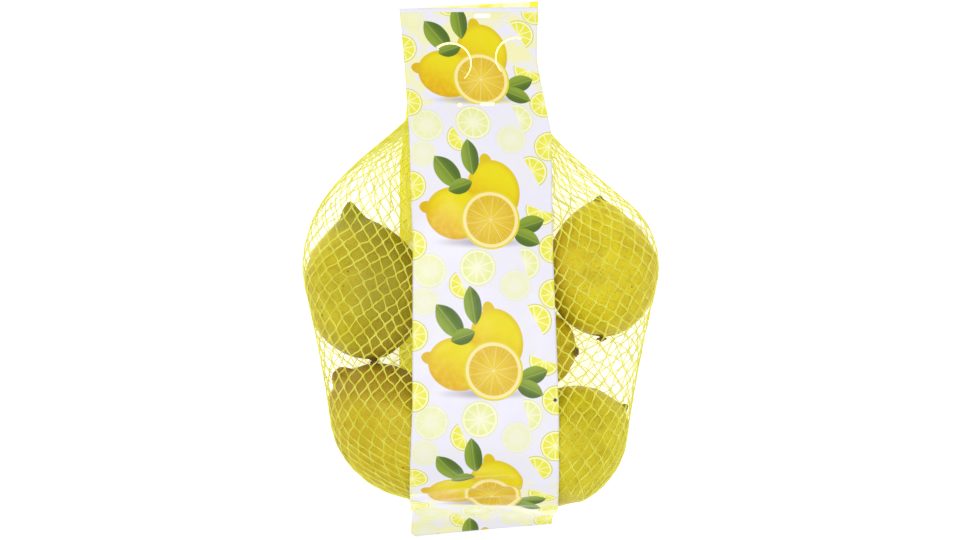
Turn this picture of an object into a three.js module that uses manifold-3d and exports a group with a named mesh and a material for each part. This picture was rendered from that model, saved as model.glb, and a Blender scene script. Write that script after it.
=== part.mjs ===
// Net of lemons: six lemons in a knitted tube net, which is caught at its head and its foot
// between two bands of plastic film. The bands meet in a header with a hang slot and in a
// short tail. The pack lies on its back, with the printed band up.
// Units are millimetres. +X runs across the pack, +Y towards the header, +Z up.

import * as THREE from 'three';
import * as BufferGeometryUtils from 'three/addons/utils/BufferGeometryUtils.js';
import Module from 'manifold-3d';

const wasm = await Module();
wasm.setup();

// ---- Driving dimensions ------------------------------------------------------------------

// Each lemon as the net feels it: its middle, the heading of its tip (degrees from +X), its
// length and its thickness. All lie on their sides in one layer.
const LEMONS = [
  { x: -63.6, y: -2.8, heading: 103, length: 84, width: 64 },
  { x: 66.6, y: 2.4, heading: 92, length: 77, width: 61 },
  { x: -10.6, y: 26.5, heading: 112, length: 73, width: 54 },
  { x: 12.2, y: -38.6, heading: 184, length: 77, width: 57 },
  { x: -44.2, y: -88.0, heading: 140, length: 81, width: 63 },
  { x: 43.6, y: -96.4, heading: 37, length: 78, width: 62 },
];

// Film bands.
const FILM_THICKNESS = 0.6;
const TOUCH_GAP = 0.3;
const HEADER_END = 147.6;
const WELD_LINE = 92;
const FOOT_SEAM = -133.5;
const TAIL_END = -146.5;
const WELD_HEIGHT = 15;
const SEAM_HEIGHT = 8;
const BACK_LANDS_HEAD = 62;
const BACK_LANDS_FOOT = -110;
const BACK_HEADER_OVERHANG = 4;
const BACK_TAIL_OVERHANG = 1.2;

// The front band leans a little: middle and width at some stations, and how far the right side
// of a cut runs ahead of the left one.
const FRONT_STATIONS = [
  { y: HEADER_END, centre: -6.3, width: 79.6, skew: 0.6 },
  { y: 136, centre: -6, width: 77.6, skew: 0 },
  { y: 118, centre: -5.4, width: 75.2, skew: 0 },
  { y: WELD_LINE, centre: -2.2, width: 77.4, skew: 0 },
  { y: 74, centre: 0.2, width: 79, skew: 0 },
  { y: 10, centre: 1.6, width: 75.6, skew: 0 },
  { y: -72, centre: 3, width: 78.2, skew: 0 },
  { y: FOOT_SEAM, centre: 1.8, width: 80.6, skew: 0 },
  { y: TAIL_END, centre: 0.6, width: 80.4, skew: 7.4 },
];

// The back band is cut at a slant at its head, and lies further left under the net.
const BACK_STATIONS = [
  { y: 149.3, centre: -6.2, width: 79, skew: 4.6 },
  { y: 118, centre: -5.4, width: 75.2, skew: 0 },
  { y: WELD_LINE, centre: -2.2, width: 77.4, skew: 0 },
  { y: 60, centre: -6.8, width: 77.8, skew: 0 },
  { y: -60, centre: -7, width: 78, skew: 0 },
  { y: FOOT_SEAM, centre: 1.8, width: 80.6, skew: 0 },
  { y: TAIL_END - BACK_TAIL_OVERHANG, centre: 0.6, width: 80.4, skew: 7.4 },
];

// The label dips between the two lowest lemons, from one place down to where it is deepest.
const FOOT_DIP = 15;
const DIP_FROM = -96;
const DIP_FULL = -124;

// Cuts through the bands, as places on the header.
const HANG_SLOT = { x: 1.2, y: 143, length: 9.2, width: 2.6 };
const WELD_SLOT = { x: 4.2, y: 92.2, length: 8, width: 2.2 };
const WELD_HOLE = { x: -11.4, y: 91.6, length: 2.8, width: 2.4 };
const SLIT_WIDTH = 0.8;
const SLITS = [
  { x: -16.6, y: 115.4, radius: 11.6, from: 130, to: -48 },
  { x: 20.4, y: 118.6, radius: 11.6, from: 82, to: 222 },
];

// Net.
const NET_FLOOR = 1;
const NET_OVER_LEMON = 0.6;
const NET_END_THICKNESS = 2;
const NET_HEAD = 86;
const NET_HEAD_HALF_WIDTH = 38.4;
const NET_FOOT_HALF_WIDTH = 40.2;
const NET_ROWS = 46;
const NET_COLUMNS = 48;
const NET_START_HALF_WIDTH = 106;
const NET_START_HEIGHT = 74;
const RELAX_PASSES = 1400;
const PULL_ALONG = 0.484;
const PULL_AROUND = 0.016;
const SPREAD = 0.8;
const PUFF_SIDES = 0.02;
const PUFF_LEFT = 0.34;
const PUFF_RIGHT = 0.07;
const PUFF_FROM = 4;
const PUFF_FULL = 34;

// Mesh density of the films.
const FINE_STEP = 1.5;
const FILM_ROW_STEP = 7;
const FILM_COLUMNS = 10;
const STEEP_MARGIN = 2;
const FILM_OVER_NET = 0.7;

// ---- Small helpers -----------------------------------------------------------------------

/** Value between stations in a list sorted by falling y. */
function between(stations, y, key) {
  const first = stations[0];
  const last = stations[stations.length - 1];
  if (y >= first.y) return first[key];
  if (y <= last.y) return last[key];
  const next = stations.findIndex((station) => station.y < y);
  const above = stations[next - 1];
  const below = stations[next];
  return THREE.MathUtils.mapLinear(y, above.y, below.y, above[key], below[key]);
}

/** A geometry of loose triangles from points and corner indices. */
function geometryFrom(points, indices) {
  const geometry = new THREE.BufferGeometry();
  const places = points.flatMap((point) => [point.x, point.y, point.z]);
  geometry.setAttribute('position', new THREE.Float32BufferAttribute(places, 3));
  geometry.setIndex(indices);
  return geometry;
}

/** A three.js geometry as a manifold solid. */
function toSolid(geometry) {
  const bare = geometry.clone();
  bare.deleteAttribute('normal');
  bare.deleteAttribute('uv');
  const merged = BufferGeometryUtils.mergeVertices(bare, 1e-4);
  return new wasm.Manifold(new wasm.Mesh({
    numProp: 3,
    vertProperties: Float32Array.from(merged.attributes.position.array),
    triVerts: Uint32Array.from(merged.index.array),
  }));
}

/** A manifold solid as a three.js geometry. */
function toGeometry(solid) {
  const mesh = solid.getMesh();
  const geometry = new THREE.BufferGeometry();
  geometry.setAttribute('position', new THREE.BufferAttribute(mesh.vertProperties, 3));
  geometry.setIndex(new THREE.BufferAttribute(mesh.triVerts, 1));
  return geometry;
}

// ---- Back band: its lower face, from header to tail ----------------------------------------

const BACK_PATH = [
  { y: HEADER_END + BACK_HEADER_OVERHANG, z: 0 },
  { y: WELD_LINE, z: WELD_HEIGHT },
  { y: BACK_LANDS_HEAD, z: 0 },
  { y: BACK_LANDS_FOOT, z: 0 },
  { y: FOOT_SEAM, z: SEAM_HEIGHT },
  { y: TAIL_END - BACK_TAIL_OVERHANG, z: 0 },
];

/** Height of the back band's lower face. */
function backHeight(y) {
  return between(BACK_PATH, y, 'z');
}

/** Lowest height of the net, which lies on the back band. */
function netFloor(y) {
  return backHeight(y) + NET_FLOOR;
}

// ---- Lemons: ellipsoids that carry the net -------------------------------------------------

/** A lemon's middle, axis and half sizes, resting on the net's floor. */
function placedLemon(lemon) {
  const angle = THREE.MathUtils.degToRad(lemon.heading);
  const halfWidth = lemon.width / 2;
  return {
    middle: new THREE.Vector3(lemon.x, lemon.y, NET_FLOOR + NET_OVER_LEMON + halfWidth),
    axis: new THREE.Vector3(Math.cos(angle), Math.sin(angle), 0),
    halfLength: lemon.length / 2 + NET_OVER_LEMON,
    halfWidth: halfWidth + NET_OVER_LEMON,
  };
}

const CARRIERS = LEMONS.map(placedLemon);

/** Moves a point that is inside a lemon out to its skin. */
function pushOut(point) {
  for (const lemon of CARRIERS) {
    const offset = point.clone().sub(lemon.middle);
    const along = offset.dot(lemon.axis);
    const across = offset.clone().addScaledVector(lemon.axis, -along);
    const depth = Math.hypot(along / lemon.halfLength, across.length() / lemon.halfWidth);
    if (depth < 1) point.copy(lemon.middle).addScaledVector(offset, 1 / depth);
  }
}

// ---- Net: a taut skin over the lemons ------------------------------------------------------

/** Offset from the middle of a round-ended section, with share running once round its rim. */
function sectionPoint(halfWidth, halfHeight, share) {
  const flat = 2 * (halfWidth - halfHeight);
  const bend = Math.PI * halfHeight;
  const run = share * 2 * (flat + bend);
  const half = run % (flat + bend);
  const side = run < flat + bend ? 1 : -1;
  if (half < flat) return { x: side * (flat / 2 - half), z: side * halfHeight };
  const angle = (half - flat) / halfHeight;
  const x = -side * (flat / 2 + halfHeight * Math.sin(angle));
  return { x, z: side * halfHeight * Math.cos(angle) };
}

/** One ring of the net before it is drawn tight. t runs from foot (0) to head (1). */
function startingRing(t) {
  const swell = Math.sqrt(Math.sin(Math.PI * t));
  const endHalfWidth = THREE.MathUtils.lerp(NET_FOOT_HALF_WIDTH, NET_HEAD_HALF_WIDTH, t);
  const halfWidth = THREE.MathUtils.lerp(endHalfWidth, NET_START_HALF_WIDTH, swell);
  const halfHeight = THREE.MathUtils.lerp(NET_END_THICKNESS, NET_START_HEIGHT, swell) / 2;
  const y = THREE.MathUtils.lerp(FOOT_SEAM, NET_HEAD, t);
  const centre = between(FRONT_STATIONS, y, 'centre');
  const ring = [];
  for (let column = 0; column < NET_COLUMNS; column += 1) {
    const offset = sectionPoint(halfWidth, halfHeight, column / NET_COLUMNS);
    ring.push(new THREE.Vector3(centre + offset.x, y, netFloor(y) + halfHeight + offset.z));
  }
  return ring;
}

/** Sideways push of the stiff net, strongest at its shoulders, where no lemon fills it. */
function sidePuff(point) {
  const shoulder = THREE.MathUtils.smoothstep(point.y, PUFF_FROM, PUFF_FULL);
  const strength = PUFF_SIDES + shoulder * (point.x < 0 ? PUFF_LEFT : PUFF_RIGHT);
  return strength * THREE.MathUtils.clamp(point.x / NET_HEAD_HALF_WIDTH, -1, 1);
}

/** Draws the net tight: each knot moves to the middle of its neighbours, outside the lemons. */
function tautNet() {
  const rings = [];
  for (let row = 0; row <= NET_ROWS; row += 1) rings.push(startingRing(row / NET_ROWS));
  const middle = new THREE.Vector3();
  const chord = new THREE.Vector3();
  for (let pass = 0; pass < RELAX_PASSES; pass += 1) {
    for (let row = 1; row < NET_ROWS; row += 1) {
      for (let column = 0; column < NET_COLUMNS; column += 1) {
        const point = rings[row][column];
        const next = rings[row][(column + 1) % NET_COLUMNS];
        const previous = rings[row][(column + NET_COLUMNS - 1) % NET_COLUMNS];
        point.set(sidePuff(point), 0, 0);
        point.addScaledVector(rings[row - 1][column], PULL_ALONG);
        point.addScaledVector(rings[row + 1][column], PULL_ALONG);
        point.addScaledVector(next, PULL_AROUND).addScaledVector(previous, PULL_AROUND);
        middle.addVectors(next, previous).multiplyScalar(0.5).sub(point);
        chord.subVectors(next, previous).normalize();
        point.addScaledVector(chord, SPREAD * middle.dot(chord));
        pushOut(point);
        point.z = Math.max(point.z, netFloor(point.y));
      }
    }
  }
  return rings;
}

/** The closed solid inside a net of rings. */
function netGeometry(rings) {
  const points = rings.flat();
  const indices = [];
  for (let row = 0; row < NET_ROWS; row += 1) {
    for (let column = 0; column < NET_COLUMNS; column += 1) {
      const next = (column + 1) % NET_COLUMNS;
      const a = row * NET_COLUMNS + column;
      const b = row * NET_COLUMNS + next;
      const c = (row + 1) * NET_COLUMNS + next;
      const d = (row + 1) * NET_COLUMNS + column;
      indices.push(a, c, b, a, d, c);
    }
  }
  for (const [row, foot] of [[0, true], [NET_ROWS, false]]) {
    const middle = new THREE.Vector3();
    for (const point of rings[row]) middle.addScaledVector(point, 1 / NET_COLUMNS);
    const centre = points.push(middle) - 1;
    for (let column = 0; column < NET_COLUMNS; column += 1) {
      const a = row * NET_COLUMNS + column;
      const b = row * NET_COLUMNS + (column + 1) % NET_COLUMNS;
      indices.push(...(foot ? [centre, a, b] : [centre, b, a]));
    }
  }
  return geometryFrom(points, indices);
}

// ---- Film bands ----------------------------------------------------------------------------

/** Place of a film point: u runs from the left edge (0) to the right edge (1). */
function filmPlace(stations, y, u) {
  const centre = between(stations, y, 'centre');
  const width = between(stations, y, 'width');
  const skew = between(stations, y, 'skew');
  return { x: centre + width * (u - 0.5), y: y + skew * (u - 0.5) };
}

/** Height of the back band under a place in a row. The header is one plane; a tail's row is level. */
function rowHeight(y, place) {
  return backHeight(y > WELD_LINE ? place.y : y);
}

/** Whether a row of the front band is free of the back band, between the weld and the tail. */
function isLabel(y) {
  return y <= WELD_LINE && y >= FOOT_SEAM - 2 * STEEP_MARGIN;
}

/** Highest point of the net's surface over a place, or 0 beside the net. */
function netTop(triangles, x, y) {
  let top = 0;
  for (const [a, b, c] of triangles) {
    const area = (b.x - a.x) * (c.y - a.y) - (c.x - a.x) * (b.y - a.y);
    if (Math.abs(area) < 1e-9) continue;
    const v = ((x - a.x) * (c.y - a.y) - (c.x - a.x) * (y - a.y)) / area;
    const w = ((b.x - a.x) * (y - a.y) - (x - a.x) * (b.y - a.y)) / area;
    if (v < 0 || w < 0 || v + w > 1) continue;
    top = Math.max(top, a.z + v * (b.z - a.z) + w * (c.z - a.z));
  }
  return top;
}

/** The net's upper triangles, as triples of points. */
function upperTriangles(geometry) {
  const { array } = geometry.index;
  const place = geometry.attributes.position;
  const triangles = [];
  for (let start = 0; start < array.length; start += 3) {
    const corners = [0, 1, 2].map((k) => new THREE.Vector3().fromBufferAttribute(place, array[start + k]));
    const normal = new THREE.Triangle(...corners).getNormal(new THREE.Vector3());
    if (normal.z > 0) triangles.push(corners);
  }
  return triangles;
}

/** Lifts a line of points to a string drawn tight over them. Its points rise in x or in y. */
function drawTight(line, direction) {
  const hull = [];
  for (const { [direction]: y, z } of line) {
    while (hull.length > 1) {
      const [a, b] = hull.slice(-2);
      if ((b.y - a.y) * (z - a.z) - (b.z - a.z) * (y - a.y) < 0) break;
      hull.pop();
    }
    hull.push({ y, z });
  }
  hull.reverse();
  for (const point of line) point.z = between(hull, point[direction], 'z');
}

/** How far the label dips at a place; u runs from its left edge (0) to its right edge (1). */
function footDip(y, u) {
  const depth = FOOT_DIP * THREE.MathUtils.smoothstep(DIP_FROM - y, 0, DIP_FROM - DIP_FULL);
  return depth * (1 - (2 * u - 1) ** 2);
}

/** Lower face of the front band: flat header and tail, and drawn tight over the net between. */
function frontFace(triangles) {
  const layer = FILM_THICKNESS + 2 * TOUCH_GAP;
  const fine = [];
  for (let y = TAIL_END; y <= HEADER_END + FINE_STEP / 2; y += FINE_STEP) fine.push(Math.min(y, HEADER_END));
  const columns = [];
  for (let column = 0; column <= FILM_COLUMNS; column += 1) {
    const line = fine.map((y) => {
      const place = filmPlace(FRONT_STATIONS, y, column / FILM_COLUMNS);
      const flat = rowHeight(y, place) + layer;
      if (!isLabel(y)) return { ...place, z: flat };
      const shifts = [[0, 0], [0, STEEP_MARGIN], [0, -STEEP_MARGIN], [STEEP_MARGIN, 0], [-STEEP_MARGIN, 0]];
      const tops = shifts.map(([dx, dy]) => netTop(triangles, place.x + dx, place.y + dy));
      const over = Math.max(...tops) + FILM_OVER_NET;
      return { ...place, z: Math.max(flat, over) };
    });
    drawTight(line.filter((point, index) => isLabel(fine[index])), 'y');
    columns.push(line);
  }
  fine.forEach((y, index) => {
    if (!isLabel(y)) return;
    const row = columns.map((line) => line[index]);
    const lowest = row.map((point) => point.z);
    drawTight(row, 'x');
    row.forEach((point, column) => {
      point.z = Math.max(lowest[column], point.z - footDip(y, column / FILM_COLUMNS));
    });
  });
  return columns;
}

/** Picks rows of a fine face evenly along its length, with both ends and the weld's crease. */
function thinnedRows(columns) {
  const middle = columns[Math.floor(columns.length / 2)];
  const rows = [];
  let run = Infinity;
  middle.forEach((point, index) => {
    const previous = middle[Math.max(0, index - 1)];
    run += Math.hypot(point.y - previous.y, point.z - previous.z);
    const isCrease = Math.abs(point.y - WELD_LINE) < FINE_STEP / 2;
    const isEnd = index === middle.length - 1;
    if (run < FILM_ROW_STEP && !isCrease && !isEnd) return;
    rows.push(columns.map((line) => new THREE.Vector3(line[index].x, line[index].y, line[index].z)));
    run = 0;
  });
  return rows;
}

/** Lower face of the back band, with rows only where it bends. */
function backFace() {
  const bends = BACK_PATH.filter(({ y }) => y < BACK_STATIONS[0].y);
  const extra = BACK_STATIONS.filter(({ y }) => !bends.some((point) => point.y === y));
  const ys = [...bends, ...extra].map(({ y }) => y).sort((a, b) => a - b);
  return ys.map((y) => {
    const row = [];
    for (let column = 0; column <= FILM_COLUMNS; column += 1) {
      const place = filmPlace(BACK_STATIONS, y, column / FILM_COLUMNS);
      row.push(new THREE.Vector3(place.x, place.y, rowHeight(y, place)));
    }
    return row;
  });
}

/** A closed sheet: rows of points as its lower face, thickened along the upward normal. */
function sheetGeometry(rows) {
  const count = rows.length;
  const wide = rows[0].length;
  const upper = rows.map((row, i) => row.map((point, j) => {
    const along = new THREE.Vector3().subVectors(
      rows[Math.min(i + 1, count - 1)][j],
      rows[Math.max(i - 1, 0)][j],
    );
    const across = new THREE.Vector3().subVectors(row[Math.min(j + 1, wide - 1)], row[Math.max(j - 1, 0)]);
    const normal = new THREE.Vector3().crossVectors(across, along).normalize();
    return point.clone().addScaledVector(normal, FILM_THICKNESS);
  }));
  const points = [...rows.flat(), ...upper.flat()];
  const lift = count * wide;
  const indices = [];
  const quad = (a, b, c, d) => indices.push(a, b, c, a, c, d);
  for (let i = 0; i < count - 1; i += 1) {
    for (let j = 0; j < wide - 1; j += 1) {
      const a = i * wide + j;
      quad(lift + a, lift + a + 1, lift + a + wide + 1, lift + a + wide);
      quad(a, a + wide, a + wide + 1, a + 1);
    }
    const left = i * wide;
    const right = left + wide - 1;
    quad(left, lift + left, lift + left + wide, left + wide);
    quad(right, right + wide, lift + right + wide, lift + right);
  }
  for (let j = 0; j < wide - 1; j += 1) {
    const end = (count - 1) * wide + j;
    quad(j, j + 1, lift + j + 1, lift + j);
    quad(end, lift + end, lift + end + 1, end + 1);
  }
  return geometryFrom(points, indices);
}

// ---- Cuts ----------------------------------------------------------------------------------

const CUT_DEPTH = 60;

/** A round-ended slot as a tool that passes through both bands. */
function slotTool({ x, y, length, width }) {
  const radius = width / 2;
  const reach = (length - width) / 2;
  const shape = new THREE.Shape();
  shape.absarc(reach, 0, radius, -Math.PI / 2, Math.PI / 2, false);
  shape.absarc(-reach, 0, radius, Math.PI / 2, 1.5 * Math.PI, false);
  return cutTool(shape, x, y, 6);
}

/** A curved slit as a tool that passes through both bands. Angles in degrees. */
function slitTool({ x, y, radius, from, to }) {
  const low = THREE.MathUtils.degToRad(Math.min(from, to));
  const high = THREE.MathUtils.degToRad(Math.max(from, to));
  const shape = new THREE.Shape();
  shape.absarc(0, 0, radius + SLIT_WIDTH / 2, low, high, false);
  shape.absarc(0, 0, radius - SLIT_WIDTH / 2, high, low, true);
  return cutTool(shape, x, y, 10);
}

function cutTool(shape, x, y, curveSegments) {
  const geometry = new THREE.ExtrudeGeometry(shape, {
    depth: CUT_DEPTH,
    bevelEnabled: false,
    curveSegments,
  });
  geometry.translate(x, y, -CUT_DEPTH / 4);
  return toSolid(geometry);
}

/** The hang slot, the slot and hole at the weld, and the two curved slits. */
function withCuts(geometry) {
  const slots = [HANG_SLOT, WELD_SLOT, WELD_HOLE].map(slotTool);
  const tools = [...slots, ...SLITS.map(slitTool)];
  return toGeometry(tools.reduce((solid, tool) => solid.subtract(tool), toSolid(geometry)));
}

// ---- The pack ------------------------------------------------------------------------------

/** A named mesh with its own material. */
function part(name, geometry, colour, roughness) {
  const material = new THREE.MeshStandardMaterial({ color: colour, roughness, metalness: 0 });
  const mesh = new THREE.Mesh(geometry, material);
  mesh.name = name;
  return mesh;
}

const netSolid = netGeometry(tautNet());
const frontSolid = withCuts(sheetGeometry(thinnedRows(frontFace(upperTriangles(netSolid)))));
const backSolid = withCuts(sheetGeometry(backFace()));

const pack = new THREE.Group();
pack.add(part('filled_net', netSolid, 0xcdbb33, 0.6));
pack.add(part('front_film', frontSolid, 0xece9f5, 0.35));
pack.add(part('back_film', backSolid, 0xe8e6f0, 0.35));

// The pack's own middle is the origin across and along, and its lowest point is the ground.
const extent = new THREE.Box3().setFromObject(pack);
const middle = extent.getCenter(new THREE.Vector3());
pack.position.set(-middle.x, -middle.y, -extent.min.z);

const group = new THREE.Group();
group.add(pack);

export default group;
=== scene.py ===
"""Looks of a net of lemons.

Six lemons lie in a knitted tube net. The net is caught, at its head and its foot, between a
front and a back band of printed film. The bands meet in a punched header and in a short tail.
Everything is in metres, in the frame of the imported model: +X runs across the pack, +Y towards
the header and +Z up, out of the front band. Sizes written with MM are in millimetres.
"""

import logging
import math
import random
from dataclasses import dataclass, field
from enum import Enum

import bmesh
import bpy
import numpy as np
from mathutils import Matrix, Vector, noise
from mathutils.bvhtree import BVHTree


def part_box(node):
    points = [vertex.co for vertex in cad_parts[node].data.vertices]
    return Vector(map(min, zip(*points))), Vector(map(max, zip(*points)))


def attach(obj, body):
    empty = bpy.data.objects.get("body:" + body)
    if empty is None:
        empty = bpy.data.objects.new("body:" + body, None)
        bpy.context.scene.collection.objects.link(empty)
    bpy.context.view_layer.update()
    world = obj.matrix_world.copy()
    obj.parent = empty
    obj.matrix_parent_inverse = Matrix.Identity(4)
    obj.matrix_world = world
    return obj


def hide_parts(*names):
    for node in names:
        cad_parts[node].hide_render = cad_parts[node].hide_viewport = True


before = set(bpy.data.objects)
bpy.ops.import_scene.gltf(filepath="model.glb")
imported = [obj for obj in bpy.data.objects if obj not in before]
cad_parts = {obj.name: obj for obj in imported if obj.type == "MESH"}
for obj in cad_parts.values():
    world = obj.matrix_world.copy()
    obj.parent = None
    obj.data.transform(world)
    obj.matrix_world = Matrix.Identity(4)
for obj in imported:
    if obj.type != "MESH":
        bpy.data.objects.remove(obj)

log = logging.getLogger("net_of_lemons")
logging.basicConfig(level=logging.INFO, format="%(message)s")

MM = 0.001
BODY = "root"
Colour = tuple[float, float, float]

# Two numbers that belong together, and the four places between which a plateau rises and falls.
Pair = tuple[float, float]
Hump = tuple[float, float, float, float]

# The frame's origin lies under the pack's middle. The drawing's origin lies this far from it.
SHIFT = Vector((-0.367, -0.05, 0.0))

# Points of a mesh that lie closer than this, in metres, are made one.
SAME_POINT = 1e-6

# Numbers of the sockets of a Mix node that mixes colours.
MIX_SHARE, MIX_BELOW, MIX_ABOVE, MIX_RESULT = 0, 6, 7, 2


def spot(x: float, y: float, z: float = 0.0) -> Vector:
    """Turns a place of the pack's drawing, in millimetres, into a point of the frame.

    Args:
        x: Place across the pack.
        y: Place along the pack.
        z: Height over the ground.

    Returns:
        The point, in metres.
    """
    return (Vector((x, y, z)) + SHIFT) * MM


def srgb(red: int, green: int, blue: int) -> Colour:
    """Turns a display colour into the linear one that a shader takes.

    Args:
        red: Red from 0 to 255.
        green: Green from 0 to 255.
        blue: Blue from 0 to 255.

    Returns:
        The linear colour.
    """
    parts = (channel / 255 for channel in (red, green, blue))
    return tuple(p / 12.92 if p <= 0.04045 else ((p + 0.055) / 1.055) ** 2.4 for p in parts)


def smoothstep(value: np.ndarray | float, low: float, high: float) -> np.ndarray | float:
    """Rises smoothly from 0 at low to 1 at high."""
    share = np.clip((value - low) / (high - low), 0.0, 1.0)
    return share * share * (3 - 2 * share)


def plateau(value: np.ndarray, start: float, full: float, fading: float, end: float) -> np.ndarray:
    """Rises smoothly from 0 at start to 1 at full, and falls back from fading to 0 at end."""
    return smoothstep(value, start, full) * (1 - smoothstep(value, fading, end))


class Slot(Enum):
    """The record's material slots."""

    YARN = "net_yarn"
    PEEL = "lemon_peel"
    STEM = "stem_end"
    PRINT = "printed_film"
    BACK = "back_film"


# ---- Shader graphs -------------------------------------------------------------------------


class Graph:
    """A material and short ways to add nodes to it."""

    def __init__(self, name: str) -> None:
        """Makes an empty material with a Principled shader.

        Args:
            name: The material's name.
        """
        self.material = bpy.data.materials.new(name)
        self.material.use_nodes = True
        self.tree = self.material.node_tree
        self.shader = self.tree.nodes["Principled BSDF"]

    def add(self, kind: str, inputs: dict | None = None, **settings: object) -> bpy.types.Node:
        """Adds a node.

        Args:
            kind: Node type without its ShaderNode prefix.
            inputs: Values or sockets by input name or number.
            **settings: Attributes of the node.

        Returns:
            The node.
        """
        node = self.tree.nodes.new("ShaderNode" + kind)
        for key, value in settings.items():
            setattr(node, key, value)
        for key, value in (inputs or {}).items():
            self.feed(node.inputs[key], value)
        return node

    def feed(self, socket: bpy.types.NodeSocket, value: object) -> None:
        """Links a socket to an input, or sets the input's value.

        Args:
            socket: The input.
            value: The socket to link, or a number, vector or colour.
        """
        if isinstance(value, bpy.types.NodeSocket):
            self.tree.links.new(value, socket)
        elif isinstance(value, tuple) and len(value) == 3 and socket.type == "RGBA":
            socket.default_value = (*value, 1.0)
        else:
            socket.default_value = value

    def math(self, operation: str, *terms: object) -> bpy.types.NodeSocket:
        """Adds a Math node and returns its result."""
        return self.add("Math", dict(enumerate(terms)), operation=operation).outputs[0]

    def ramp(self, value: object, low: float, high: float, out: tuple = (0.0, 1.0)) -> bpy.types.NodeSocket:
        """Maps low..high smoothly and clamped to the range out, and returns the result."""
        inputs = {"Value": value, "From Min": low, "From Max": high, "To Min": out[0], "To Max": out[1]}
        return self.add("MapRange", inputs, interpolation_type="SMOOTHSTEP").outputs[0]

    def mix(self, share: object, below: object, above: object) -> bpy.types.NodeSocket:
        """Lays one colour over another where share is 1, and returns the result."""
        inputs = {MIX_SHARE: share, MIX_BELOW: below, MIX_ABOVE: above}
        return self.add("Mix", inputs, data_type="RGBA").outputs[MIX_RESULT]

    def place(self) -> bpy.types.NodeSocket:
        """The object coordinates."""
        return self.add("TexCoord").outputs["Object"]

    def split(self, vector: object) -> bpy.types.NodeOutputs:
        """The parts of a vector."""
        return self.add("SeparateXYZ", {0: vector}).outputs

    def noise(self, scale: float, detail: float = 2.0, place: object = None) -> bpy.types.NodeSocket:
        """Noise on object coordinates, or on a given place, from 0 to 1."""
        inputs = {"Vector": place or self.place(), "Scale": scale, "Detail": detail}
        return self.add("TexNoise", inputs).outputs["Fac"]

    def cells(self, scale: float) -> bpy.types.NodeSocket:
        """Distance to the nearest of scattered points, in cell widths."""
        inputs = {"Vector": self.place(), "Scale": scale}
        return self.add("TexVoronoi", inputs).outputs["Distance"]

    def local(self, place: object, middle: tuple, half: tuple, turn: float) -> bpy.types.NodeSocket:
        """Coordinates in the frame of a patch.

        Args:
            place: Coordinates to start from.
            middle: The patch's middle.
            half: The patch's half sizes, which become 1.
            turn: The patch's turn about Z, in degrees.

        Returns:
            The coordinates' socket.
        """
        inputs = {0: place, 1: middle, 2: (0.0, 0.0, math.radians(turn)), 3: half}
        return self.add("Mapping", inputs, vector_type="TEXTURE").outputs[0]

    def reach(self, local: bpy.types.NodeSocket) -> bpy.types.NodeSocket:
        """Distance from a patch's middle, 1 on its rim."""
        return self.add("VectorMath", {0: local}, operation="LENGTH").outputs["Value"]

    def bump(self, height: object, depth: float, below: object = None) -> bpy.types.NodeSocket:
        """Turns a height from 0 to 1 into a normal.

        Args:
            height: The height's socket.
            depth: Depth of the relief in metres.
            below: Normal that this relief lies on.

        Returns:
            The normal's socket.
        """
        node = self.add("Bump", {"Height": height, "Distance": depth})
        if below is not None:
            self.feed(node.inputs["Normal"], below)
        return node.outputs[0]

    def dress(self, **inputs: object) -> bpy.types.Material:
        """Sets the shader's inputs.

        Args:
            **inputs: Values or sockets by input name, with _ for a blank.

        Returns:
            The material.
        """
        for name, value in inputs.items():
            self.feed(self.shader.inputs[name.replace("_", " ")], value)
        return self.material


# ---- Finishes ------------------------------------------------------------------------------


@dataclass(frozen=True)
class PaintedLightAndTint:
    """A side of a lemon with another colour, reached between two distances from its middle: mostly painted
    shade where the band and other lemons shade it, some painted light, and one greener tip.
    """

    colour: Colour
    heading: float
    start: float
    end: float
    strength: float = 1.0


@dataclass(frozen=True)
class ScarAndShade:
    """A dark patch of peel, dry or bruised, which at one stem end is partly painted shade: its place along,
    across and up a lemon, and half sizes.
    """

    along: float
    across: float
    up: float
    half: tuple[float, float, float]
    colour: Colour = srgb(118, 84, 34)
    strength: float = 0.85


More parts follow.
